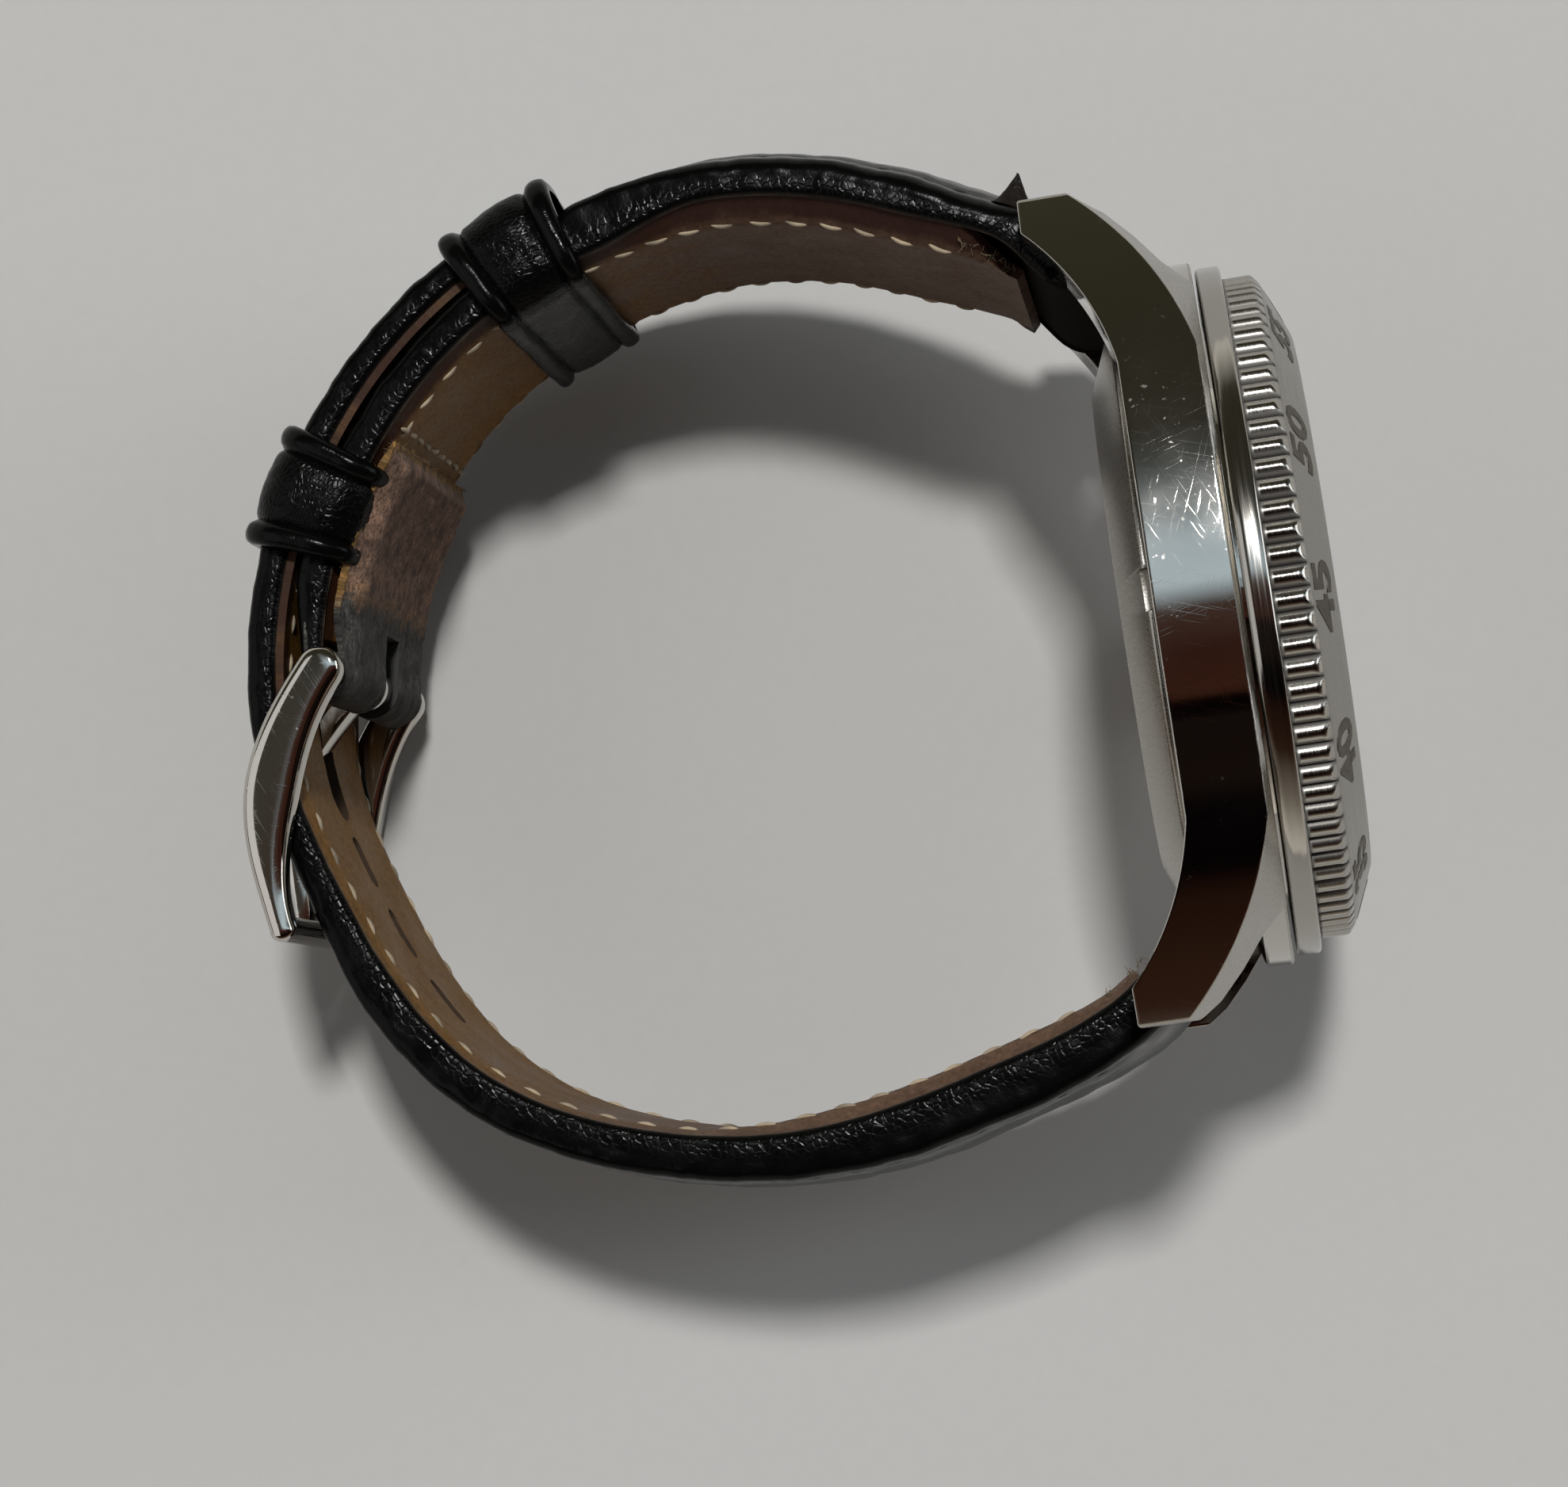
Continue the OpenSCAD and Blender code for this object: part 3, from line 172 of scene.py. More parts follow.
class WatchSizes(bpy.types.PropertyGroup):
    """Sizes of the watch that can be changed."""

    flute_depth: length("Flute depth", "Depth of the coin edge's flutes", 0.45)
    numeral_h: length("Numeral height", "Height of the bezel's numerals", 2.4)
    stitch_pitch: length("Stitch pitch", "From one stitch to the next", 2.35)
    stitch_l: length("Stitch length", "Length of one stitch", 1.7)
    stitch_w: length("Stitch width", "Thickness of the thread", 0.36)
    stitch_in: length("Stitch line", "From the strap's edge to the stitches", 2.0)
    crease: length("Creases", "Depth of the creases in the strap", 0.1)
    fuzz_l: length("Fuzz", "Length of the loose fibres", 0.9)


class WatchColours(bpy.types.PropertyGroup):
    """Colours of the watch that can be changed."""

    steel: colour("Steel", "Polished and brushed steel", "#c8c4bd")
    leather: colour("Leather", "Dyed outer leather", "#060606")
    lining_warm: colour("Lining, warm", "Lining near the buckle", "#7d5a2b")
    lining_cool: colour("Lining, cool", "Lining near the case", "#6a5343")
    dye: colour("Edge dye", "Dye along the edges of the lining", "#2a1512")
    suede: colour("Suede", "Turned-back flap", "#765c4c")
    suede_worn: colour("Worn suede", "Worn end of the flap", "#373633")
    thread: colour("Thread", "Stitches on the lining", "#c0ae92")
    paper: colour("Paper", "Surface that the watch lies on", "#c3c2c0")


# Building by hand


def drop_selection():
    bpy.ops.object.select_all(action="DESELECT")


def only(piece):
    """Makes one piece the selected and active one."""
    drop_selection()
    piece.select_set(True)
    bpy.context.view_layer.objects.active = piece


def named(name):
    """The piece that was just added, with its name."""
    piece = bpy.context.object
    piece.name = piece.data.name = name
    return piece


def smoothed(piece, angle):
    """Shades a piece smooth, up to an angle in degrees."""
    only(piece)
    bpy.ops.object.shade_smooth_by_angle(angle=math.radians(angle))
    return piece


def drawn(name, along, around, place):
    """Adds a grid and draws each point to place(u, v): a spot, its map place and its wear."""
    drop_selection()
    bpy.ops.mesh.primitive_grid_add(x_subdivisions=along, y_subdivisions=around, size=1)
    piece = named(name)
    mesh = piece.data
    spots = [place(v.co.x + 0.5, v.co.y + 0.5) for v in mesh.vertices]
    mesh.attributes.new("wear", "FLOAT", "POINT")
    wear = mesh.attributes["wear"].data
    layer = mesh.uv_layers.active.data
    for loop in mesh.loops:
        layer[loop.index].uv = spots[loop.vertex_index][1]
    for vertex in mesh.vertices:
        vertex.co = spots[vertex.index][0]
        wear[vertex.index].value = spots[vertex.index][2]
    return piece


def sewn(piece, angle):
    """Closes the seams and ends of a drawn piece, turns it right side out and smooths it."""
    only(piece)
    bpy.ops.object.mode_set(mode="EDIT")
    bpy.ops.mesh.select_all(action="SELECT")
    bpy.ops.mesh.remove_doubles(threshold=1e-6)
    bpy.ops.mesh.fill_holes(sides=0)
    bpy.ops.mesh.select_all(action="SELECT")
    bpy.ops.mesh.normals_make_consistent(inside=False)
    bpy.ops.object.mode_set(mode="OBJECT")
    return smoothed(piece, angle)


def turned(name, profile, steps):
    """Turns a closed profile of (radius, height) about the z axis, as on a lathe."""
    drop_selection()
    bpy.ops.mesh.primitive_circle_add(vertices=len(profile), radius=MM, fill_type="NOTHING")
    piece = named(name)
    for vertex, (r, h) in zip(piece.data.vertices, profile):
        vertex.co = Vector((r, 0, h)) * MM
    bpy.ops.object.mode_set(mode="EDIT")
    bpy.ops.mesh.select_all(action="SELECT")
    bpy.ops.mesh.spin(steps=steps, angle=2 * math.pi, center=(0, 0, 0), axis=(0, 0, 1))
    bpy.ops.object.mode_set(mode="OBJECT")
    return sewn(piece, 30)


def plate(name, outline, low, high, axis=0):
    """A flat outline extruded from low to high along one axis."""
    drop_selection()
    bpy.ops.mesh.primitive_circle_add(vertices=len(outline), radius=MM, fill_type="NGON")
    piece = named(name)
    for vertex, (a, b) in zip(piece.data.vertices, outline):
        spot = [a, b]
        spot.insert(axis, low)
        vertex.co = Vector(spot) * MM
    way = [0, 0, 0]
    way[axis] = (high - low) * MM
    bpy.ops.object.mode_set(mode="EDIT")
    bpy.ops.mesh.select_all(action="SELECT")
    bpy.ops.mesh.extrude_region_move(TRANSFORM_OT_translate={"value": way})
    bpy.ops.mesh.select_all(action="SELECT")
    bpy.ops.mesh.normals_make_consistent(inside=False)
    bpy.ops.object.mode_set(mode="OBJECT")
    return piece


def rod(name, radius, low, high, centre, axis=0, sides=48):
    """A plain round bar along one axis, to cut or join with."""
    turns = [2 * math.pi * i / sides for i in range(sides)]
    ring = [(centre[0] + radius * math.cos(t), centre[1] + radius * math.sin(t)) for t in turns]
    return plate(name, ring, low, high, axis)


def block(name, size, spot, turn=0.0):
    """A box turned about the x axis, to cut with."""
    drop_selection()
    bpy.ops.mesh.primitive_cube_add(size=MM)
    piece = named(name)
    piece.data.transform(Matrix.Translation(spot) @ Matrix.Rotation(turn, 4, "X")
                         @ Matrix.Diagonal((*size, 1)))
    return piece


def combined(piece, other, how, materials="INDEX"):
    """Joins, cuts or intersects a piece with another, which is used up."""
    only(piece)
    step = piece.modifiers.new(how, "BOOLEAN")
    step.operation, step.solver, step.object = how, "EXACT", other
    step.material_mode = materials
    bpy.ops.object.modifier_apply(modifier=step.name)
    bpy.data.objects.remove(other)
    return piece


def broken_edges(piece, width, angle, rows):
    """Takes the sharp edges off a piece."""
    only(piece)
    step = piece.modifiers.new("edges", "BEVEL")
    step.width, step.segments, step.limit_method = width, rows, "ANGLE"
    step.angle_limit, step.harden_normals = math.radians(angle), False
    step.miter_outer = "MITER_ARC"
    bpy.ops.object.modifier_apply(modifier=step.name)
    return smoothed(piece, angle)


def joined(name, pieces):
    """Puts several meshes into one piece."""
    drop_selection()
    for piece in pieces:
        piece.select_set(True)
    bpy.context.view_layer.objects.active = pieces[0]
    bpy.ops.object.join()
    return named(name)


def copied(name, models, places):
    """Copies models to their places, (model, place), as one piece, and uses the models up."""
    pieces = []
    for model, place in places:
        piece = model.copy()
        piece.data = model.data.copy()
        piece.data.transform(place)
        bpy.context.scene.collection.objects.link(piece)
        pieces.append(piece)
    for model in models:
        bpy.data.objects.remove(model)
    return joined(name, pieces)


def dressed(piece, body, slot, materials, *nodes, padded=None):
    """Lays a finished piece as the watch lies, and gives it its body and materials; its slot is
    not used.
    """
    piece.data.transform(BENCH)
    for material in materials:
        if material.name not in piece.data.materials:
            piece.data.materials.append(material)
    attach(piece, body)
    if nodes:
        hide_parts(*nodes)
    return piece


# Materials, with their patterns in millimetres


def wire(tree, node, inputs):
    """Sets inputs of a node, in order or by name, to values, colours, outputs or other nodes.

    A node stands for the first of its outputs that is in use.
    """
    for name, value in inputs.items() if isinstance(inputs, dict) else enumerate(inputs):
        socket = node.inputs[name] if isinstance(name, int) else next(
            s for s in node.inputs if s.enabled and s.name == name)
        if isinstance(value, bpy.types.Node):
            value = next(out for out in value.outputs if out.enabled)
        if isinstance(value, bpy.types.NodeSocket):
            tree.links.new(value, socket)
        else:
            socket.default_value = [*value, 1] if socket.type == "RGBA" else value
    return node


def add(tree, kind, inputs=(), stops=(), **settings):
    """Adds a shader node with its settings and links, and the stops of a ramp."""
    node = tree.nodes.new("ShaderNode" + kind)
    for name, value in settings.items():
        setattr(node, name, value)
    for i, (spot, shade) in enumerate(stops):
        marks = node.color_ramp.elements
        mark = marks[i] if i < 2 else marks.new(spot)
        mark.position = spot
        mark.color = [*shade, 1] if len(shade) == 3 else [shade[0]] * 3 + [1]
    return wire(tree, node, inputs)


def finish_of(name, shade, metallic, roughness, pattern="Object", **sockets):
    """A new material with its plain values; gives it, its tree, shader and pattern's place."""
    material = bpy.data.materials.new(name)
    material.use_nodes = True
    tree = material.node_tree
    values = {"Base Color": shade, "Metallic": metallic, "Roughness": roughness}
    values.update((socket.replace("_", " "), value) for socket, value in sockets.items())
    shader = wire(tree, tree.nodes["Principled BSDF"], values)
    spot = add(tree, "Mapping", {"Vector": add(tree, "TexCoord").outputs[pattern],
                                 "Scale": (1 / MM, 1 / MM, 1 / MM)})
    return material, tree, shader, spot


@functools.cache
def polished_steel():
    """Stainless steel, polished and then worn: mirror bright with fine scratches and specks."""
    material, tree, shader, spot = finish_of("polished stainless steel",
                                             bpy.context.scene.watch_colours.steel, 1, 0.1)
    # Scratches in four directions, a few millimetres long and 0.04 mm wide
    scratch = 0.0
    for i, turn in enumerate((0.35, 1.2, 2.0, 2.8)):
        lines = add(tree, "Mapping", {"Vector": spot, "Location": (7 * i, 3 * i, 0),
                                      "Rotation": (0.1, 0.15, turn),
                                      "Scale": (1.6 + 0.6 * i, 0.04, 3)}, vector_type="TEXTURE")
        grain = add(tree, "TexNoise", {"Vector": lines, "Scale": 1, "Detail": 0})
        keen = add(tree, "MapRange", (grain, 0.75, 0.9))
        scratch = add(tree, "Math", (scratch, keen), operation="MAXIMUM")
    smudge = add(tree, "TexNoise", {"Vector": spot, "Scale": 0.24, "Detail": 4})
    # Specks of 0.1 to 0.3 mm, where the steel has been knocked
    grit = add(tree, "TexNoise", {"Vector": spot, "Scale": 2.3, "Detail": 2})
    speck = add(tree, "MapRange", (grit, 0.66, 0.74))
    knocked = add(tree, "MapRange", (smudge, 0.46, 0.58, 0, 0.6))
    speck = add(tree, "Math", (speck, knocked), operation="MULTIPLY")
    faint = add(tree, "Math", (scratch, 0.2), operation="MULTIPLY")
    marks = add(tree, "Math", (faint, speck), operation="MAXIMUM")
    dull = add(tree, "MapRange", (smudge, 0.35, 0.75, 0.035, 0.085))
    rough = add(tree, "Math", (marks, 0.2, dull), operation="MULTIPLY_ADD")
    bump = add(tree, "Bump", {"Height": marks, "Strength": 0.17, "Distance": 0.02 * MM})
    wire(tree, shader, {"Roughness": rough, "Normal": bump})
    return material


def brushed_steel(name, line, ring=False, keen=1.0, tone=0.76):
    """Stainless steel with fine lines from the brush; line is their size along x, y and z."""
    shade = [tone * c for c in bpy.context.scene.watch_colours.steel]
    material, tree, shader, spot = finish_of(name, shade, 1, 0.3, "UV" if ring else "Object")
    # Brush lines are about 0.02 mm apart; drawn at 0.08 mm, so that they show
    lines = add(tree, "Mapping", {"Vector": spot, "Scale": line}, vector_type="TEXTURE")
    grain = add(tree, "TexNoise", {"Vector": lines, "Scale": 1, "Detail": 2})
    rough = add(tree, "MapRange", (grain, 0.3, 0.7, 0.2 * keen, 0.42 * keen))
    bump = add(tree, "Bump", {"Height": grain, "Strength": 0.25 * keen, "Distance": 0.02 * MM})
    wire(tree, shader, {"Roughness": rough, "Normal": bump})
    if ring:
        # Darker, duller and less metallic where the wear attribute is high: down in the flutes and
        # at the foot of the coin edge
        wear = add(tree, "Attribute", attribute_name="wear").outputs["Fac"]
        tint = add(tree, "Mix", {"Factor": wear, "A": shade, "B": hex_linear("#15110d")},
                   data_type="RGBA")
        gloss = add(tree, "Math", (wear, 0.5, rough), operation="MULTIPLY_ADD")
        bare = add(tree, "Math", (1.0, wear), operation="SUBTRACT")
        wire(tree, shader, {"Base Color": tint, "Roughness": gloss, "Metallic": bare})
    return material


def plain_metal(name, code, roughness):
    """A turned or stamped metal part with a faint grain."""
    material, tree, shader, spot = finish_of(name, hex_linear(code), 1, roughness)
    grain = add(tree, "TexNoise", {"Vector": spot, "Scale": 2.5, "Detail": 3})
    rough = add(tree, "MapRange", (grain, 0, 1, 0.7 * roughness, 1.4 * roughness))
    wire(tree, shader, {"Roughness": rough})
    return material


@functools.cache
def plain_solid(name, code, roughness, **sockets):
    """A moulded, painted or cut surface with a faint unevenness."""
    shade = hex_linear(code)
    material, tree, shader, spot = finish_of(name, shade, 0, roughness, **sockets)
    grain = add(tree, "TexNoise", {"Vector": spot, "Scale": 1.8, "Detail": 3})
    shades = add(tree, "ValToRGB", {"Fac": grain},
                 stops=[(0.2, [0.75 * c for c in shade]), (0.8, shade)])
    bump = add(tree, "Bump", {"Height": grain, "Strength": 0.1, "Distance": 0.02 * MM})
    wire(tree, shader, {"Base Color": shades, "Normal": bump})
    return material


def clear_glass():
    """Mineral glass: clear, with hard reflections."""
    return finish_of("mineral glass", hex_linear("#f9fdfc"), 0, 0.02, Transmission_Weight=1.0,
                     IOR=1.5)[0]


@functools.cache
def black_leather():
    """Calf leather, dyed black and glazed: finely wrinkled; pale along its turned edge, rubbed
    there and with a painted highlight on its rim.
    """
    shade = bpy.context.scene.watch_colours.leather
    material, tree, shader, spot = finish_of("glazed black calf leather", shade, 0, 0.4, "UV",
                                             Specular_IOR_Level=0.1)
    bend = add(tree, "TexNoise", {"Vector": spot, "Scale": 0.9, "Detail": 2})
    wavy = add(tree, "Mix", {"Factor": 0.3, "A": spot, "B": bend.outputs["Color"]},
               data_type="VECTOR")
    # Pebbles of about 0.3 mm, between fine cracks
    pebble = add(tree, "TexVoronoi", {"Vector": wavy, "Scale": 3.4}, feature="DISTANCE_TO_EDGE")
    crack = add(tree, "MapRange", (pebble, 0, 0.16))
    pore = add(tree, "TexNoise", {"Vector": spot, "Scale": 9, "Detail": 3})
    fold = add(tree, "TexNoise", {"Vector": spot, "Scale": 0.5, "Detail": 3, "Roughness": 0.5})
    wear = add(tree, "Attribute", attribute_name="wear").outputs["Fac"]
    # It is crackled where it was bent, and smooth elsewhere
    bent = add(tree, "MapRange", (wear, 0.01, 0.1, 0.08, 0.75))
    crackle = add(tree, "Math", (crack, bent), operation="MULTIPLY")
    grain = add(tree, "Math", (pore, 0.12, crackle), operation="MULTIPLY_ADD")
    height = add(tree, "Math", (fold, 2.0, grain), operation="MULTIPLY_ADD")
    bump = add(tree, "Bump", {"Height": height, "Strength": 0.3, "Distance": 0.1 * MM})
    # Pale tint along the turned edge: rubbed wear, and a painted highlight on its rim
    rubbed = add(tree, "Math", (fold, 0.5), operation="ADD")
    rubbed = add(tree, "Math", (wear, rubbed), operation="MULTIPLY")
    tint = add(tree, "ValToRGB", {"Fac": rubbed},
               stops=[(0.12, shade), (1.0, hex_linear("#8a7a66")), (0.55, hex_linear("#26211d"))])
    rough = add(tree, "MapRange", (fold, 0.3, 0.7, 0.13, 0.27))
    dull = add(tree, "Math", (wear, 0.5, rough), operation="MULTIPLY_ADD")
    wire(tree, shader, {"Base Color": tint, "Roughness": dull, "Normal": bump})
    return material


def lining_leather(name, turn_at):
    """Unglazed vegetable-tanned leather, darkened by wear and by dye from its edges.

    It turns from the cool to the warm colour between two distances from the spring bar.
    """
    colours = bpy.context.scene.watch_colours
    material, tree, shader, spot = finish_of(name, colours.lining_cool, 0, 0.6, "UV",
                                             Specular_IOR_Level=0.14)
    parts = add(tree, "SeparateXYZ", {"Vector": spot})
    blotch = add(tree, "TexNoise", {"Vector": spot, "Scale": 0.22, "Detail": 6,
                                    "Roughness": 0.65})
    speck = add(tree, "TexNoise", {"Vector": spot, "Scale": 2.3, "Detail": 5, "Roughness": 0.75})
    pores = add(tree, "TexVoronoi", {"Vector": spot, "Scale": 3.0})
    # The blotches shift the turn by up to 13 mm either way
    along = add(tree, "Math", (blotch, 26, parts.outputs["X"]), operation="MULTIPLY_ADD")
    base = add(tree, "MapRange", (along, turn_at[0] + 13, turn_at[1] + 13))
    tone = add(tree, "Mix", {"Factor": base, "A": colours.lining_cool, "B": colours.lining_warm},
               data_type="RGBA")
    light = add(tree, "MapRange", (speck, 0.3, 0.7, 0.5, 1.42))
    shaded = add(tree, "Mix", {"Factor": 1.0, "A": tone, "B": light}, data_type="RGBA",
                 blend_type="MULTIPLY")
    wear = add(tree, "Attribute", attribute_name="wear").outputs["Fac"]
    ragged = add(tree, "Math", (blotch, 0.9, -0.45), operation="MULTIPLY_ADD")
    dyed = add(tree, "Math", (wear, ragged), operation="ADD")
    dyed = add(tree, "MapRange", (dyed, 0.35, 0.9, 0, 0.92))
    worn = add(tree, "Mix", {"Factor": dyed, "A": shaded, "B": colours.dye}, data_type="RGBA")
    height = add(tree, "Math", (pores, 0.4, speck), operation="MULTIPLY_ADD")
    bump = add(tree, "Bump", {"Height": height, "Strength": 0.35, "Distance": 0.06 * MM})
    rough = add(tree, "MapRange", (blotch, 0.3, 0.7, 0.42, 0.68))
    wire(tree, shader, {"Base Color": worn, "Roughness": rough, "Normal": bump})
    return material


def napped_suede():
    """Split leather with a nap: matt, streaked with fibres, rubbed grey where the buckle turns."""
    colours = bpy.context.scene.watch_colours
    material, tree, shader, spot = finish_of("napped split leather", colours.suede, 0, 0.95, "UV",
                                             Specular_IOR_Level=0.2, Sheen_Weight=0.12,
                                             Sheen_Roughness=0.5)
    parts = add(tree, "SeparateXYZ", {"Vector": spot})
    long = add(tree, "Mapping", {"Vector": spot, "Scale": (0.9, 2.2, 1)})
    nap = add(tree, "TexNoise", {"Vector": long, "Scale": 3.2, "Detail": 7, "Roughness": 0.75})
    patch = add(tree, "TexNoise", {"Vector": spot, "Scale": 0.7, "Detail": 6, "Roughness": 0.65})
    # Grey from about 10 mm on, after a torn pale line
    along = add(tree, "Math", (patch, 5, parts.outputs["X"]), operation="MULTIPLY_ADD")
    worn = add(tree, "MapRange", (along, 12.2, 13))
    tone = add(tree, "Mix", {"Factor": worn, "A": colours.suede, "B": colours.suede_worn},
               data_type="RGBA")
    torn = add(tree, "MapRange", (along, 11.7, 12.2))
    rest = add(tree, "Math", (torn, worn), operation="SUBTRACT")
    wear = add(tree, "Attribute", attribute_name="wear").outputs["Fac"]
    rag = add(tree, "Math", (patch, 0.9, wear), operation="MULTIPLY_ADD")
    rag = add(tree, "MapRange", (rag, 0.85, 1.1))
    pale = add(tree, "Math", (rest, 0.35, rag), operation="MULTIPLY_ADD", use_clamp=True)
    gold = add(tree, "Mix", {"Factor": pale, "A": tone, "B": hex_linear("#75582f")},
               data_type="RGBA")
    light = add(tree, "MapRange", (nap, 0.36, 0.64, 0.25, 2.0))
    rubbed = add(tree, "MapRange", (patch, 0.36, 0.64, 0.5, 1.5))
    light = add(tree, "Math", (light, rubbed), operation="MULTIPLY")
    # Matted tufts of about a millimetre, most on the worn part
    tufts = add(tree, "TexNoise", {"Vector": long, "Scale": 0.9, "Detail": 5, "Roughness": 0.7,
                                   "Distortion": 0.8})
    matted = add(tree, "MapRange", (tufts, 0.38, 0.62, 0.45, 2.0))
    share = add(tree, "MapRange", (worn, 0, 1, 0.3))
    matted = add(tree, "Mix", {"Factor": share, "A": 1.0, "B": matted})
    light = add(tree, "Math", (light, matted), operation="MULTIPLY")
    shaded = add(tree, "Mix", {"Factor": 1.0, "A": gold, "B": light}, data_type="RGBA",
                 blend_type="MULTIPLY")
    pile = add(tree, "Math", (tufts, 1.5, nap), operation="MULTIPLY_ADD")
    bump = add(tree, "Bump", {"Height": pile, "Strength": 0.9, "Distance": 0.2 * MM})
    wire(tree, shader, {"Base Color": shaded, "Normal": bump})
    return material


def thread(name, shade):
    """Waxed linen thread: matt, soiled in places."""
    material, tree, shader, spot = finish_of(name, shade, 0, 0.7, Sheen_Weight=0.2)
    dirt = add(tree, "TexNoise", {"Vector": spot, "Scale": 0.42, "Detail": 4})
    tint = add(tree, "ValToRGB", {"Fac": dirt},
               stops=[(0.35, [0.35 * c for c in shade]), (0.62, shade)])
    wire(tree, shader, {"Base Color": tint})
    return material


# Case


def bow(p, q, radius, n):
    """Points of an arc from p to q that bulges to the left of the way."""
    p, q = Vector(p), Vector(q)
    way = q - p
    rise = math.sqrt(radius**2 - way.length_squared / 4)
    centre = (p + q) / 2 + rise * Vector((way.y, -way.x)) / way.length
    a = math.atan2(p.y - centre.y, p.x - centre.x)
    b = math.atan2(q.y - centre.y, q.x - centre.x)
    return [centre + radius * Vector((math.cos(mix(a, b, i / n)), math.sin(mix(a, b, i / n))))
            for i in range(n + 1)]


CASE_BASE, CASE_TOP = 2.0, 6.95
HALF_W, LUG_GAP, TIP_Y = 20.3, 22.2, 24.2
FLANGE_R, FACET_W = 21.45, 0.42
BAR_Y, BAR_Z, TUBE_Z = 21.6, 0.1, 4.425
SIDE_DROP = HALF_W - 14.2
SIDE_R = (TIP_Y**2 + SIDE_DROP**2) / (2 * SIDE_DROP)
BACK_EDGE = [(0, CASE_BASE), *bow((13.056, CASE_BASE), (22.0, -2.45), 17, 24), (TIP_Y, -2.45)]
FRONT_EDGE = [(0, 6.6), *bow((13.5, 6.6), (TIP_Y, 0.45), 22, 28)]
TOP_EDGE = [(0, CASE_TOP), (18.3, CASE_TOP), (18.8, 6.4), (19.9, 5.3), (21.7, 3.9), (23.3, 2.4),
            (TIP_Y, 1.1)]


def level(line, y):
    """The height of a line of (y, z) points at y."""
    for (y0, z0), (y1, z1) in zip(line, line[1:]):
        if y <= y1:
            return mix(z0, z1, (y - y0) / (y1 - y0))
    return line[-1][1]


def softened(corners, cuts):
    """A closed outline with each corner rounded, and its flats held flat next to the corner."""
    spots = []
    for i, corner in enumerate(corners):
        before, after = corners[i - 1], corners[(i + 1) % len(corners)]
        to, on = before - corner, after - corner
        cut = min(cuts[i], 0.3 * to.length, 0.3 * on.length)
        to, on = to.normalized() * cut, on.normalized() * cut
        spots.append(corner + 1.5 * to)
        for t in (0.0, 0.33, 0.67, 1.0):
            spots.append(corner + to * (1 - t) ** 2 + on * t**2)
        spots.append(corner + 1.5 * on)
    return spots


def cheek_section(y):
    """One side of the case at y: inner and outer back edge, polished edge, brushed facet."""
    reach = abs(y)
    side = HALF_W - SIDE_R + math.sqrt(SIDE_R**2 - y * y)
    inner = LUG_GAP / 2
    top = max(inner + 0.2, math.sqrt(max(0.0, FLANGE_R**2 - y * y)))
    top = min(top, side - FACET_W)
    back, high = level(BACK_EDGE, reach), level(TOP_EDGE, reach)
    corners = [Vector(p) for p in ((inner, back), (side, back), (side, level(FRONT_EDGE, reach)),
                                   (top, high), (inner, high))]
    middle = sum(corners, Vector((0, 0))) / 5
    tip = max(0.0, 1 - (TIP_Y - reach) / 0.2)
    inset = 0.2 * (1 - math.sqrt(max(0.0, 1 - tip * tip)))
    corners = [p + (middle - p).normalized() * inset for p in corners]
    return softened(corners, (0.12, 0.14, 0.1, 0.14, 0.06))


class WATCH_OT_case(bpy.types.Operator):
    """Models the case: a turned barrel between two curved sides that end in the lugs"""

    bl_idname = "watch.case"
    bl_label = "Case"

    def execute(self, context):
        case = turned("case_body", [
            (17.45, 2.0), (19.1, 2.0), (19.2, 2.1), (19.2, 4.75), (21.2, 5.2), (21.38, 5.3),
            (FLANGE_R, 5.45), (FLANGE_R, 6.75), (21.38, 6.9), (21.2, CASE_TOP),
            (17.58, CASE_TOP), (17.58, 9.08), (17.2, 9.08), (17.2, 9.92), (17.58, 9.92),
            (17.58, 11.05), (17.48, 11.15), (15.62, 11.15), (15.62, 10.25), (14.6, 10.25),
            (14.6, 9.72), (15.33, 9.72), (15.33, 2.85), (17.45, 2.85)], 192)
        for side in (-1, 1):
            disc = rod("disc", SIDE_R, -6, 14, (-side * (SIDE_R - HALF_W + FACET_W), 0), 2, 480)
            combined(case, disc, "INTERSECT")
        rows, last = 280, len(cheek_section(0))

        def place(u, v):
            y = TIP_Y * math.sin(math.pi * (u - 0.5))
            spot = cheek_section(y)[round(v * last) % last]
            return Vector((-spot.x, y, spot.y)) * MM, (y * MM, spot.x * MM), 0.0

        for side in (-1, 1):
            cheek = drawn("cheek", rows, last, place)
            cheek.data.transform(Matrix.Diagonal((-side, 1, 1, 1)))
            sewn(cheek, 24)
            for radius, top in ((15.38, 8.0), (18.65, CASE_BASE + 0.1)):
                combined(cheek, rod("bore", radius, 1.0, top, (0, 0), 2, 192), "DIFFERENCE")
            combined(case, cheek, "UNION")
        combined(case, rod("tube_hole", 1.47, 13, 24, (0, TUBE_Z)), "DIFFERENCE")
        for y in (-BAR_Y, BAR_Y):
            combined(case, rod("bar_hole", 0.47, -12.5, 12.5, (y, BAR_Z), sides=24), "DIFFERENCE")
        smoothed(case, 24)
        for face in case.data.polygons:
            tip = abs(face.normal.y) > 0.6 and abs(face.center.y) > (TIP_Y - 0.4) * MM
            face.material_index = 1 if face.normal.z > 0.3 or tip else 0
        brushed = brushed_steel("brushed case steel", (0.08, 6, 0.08))
        dressed(case, "root", "polished_steel", [polished_steel(), brushed], "case_middle")
        return {"FINISHED"}


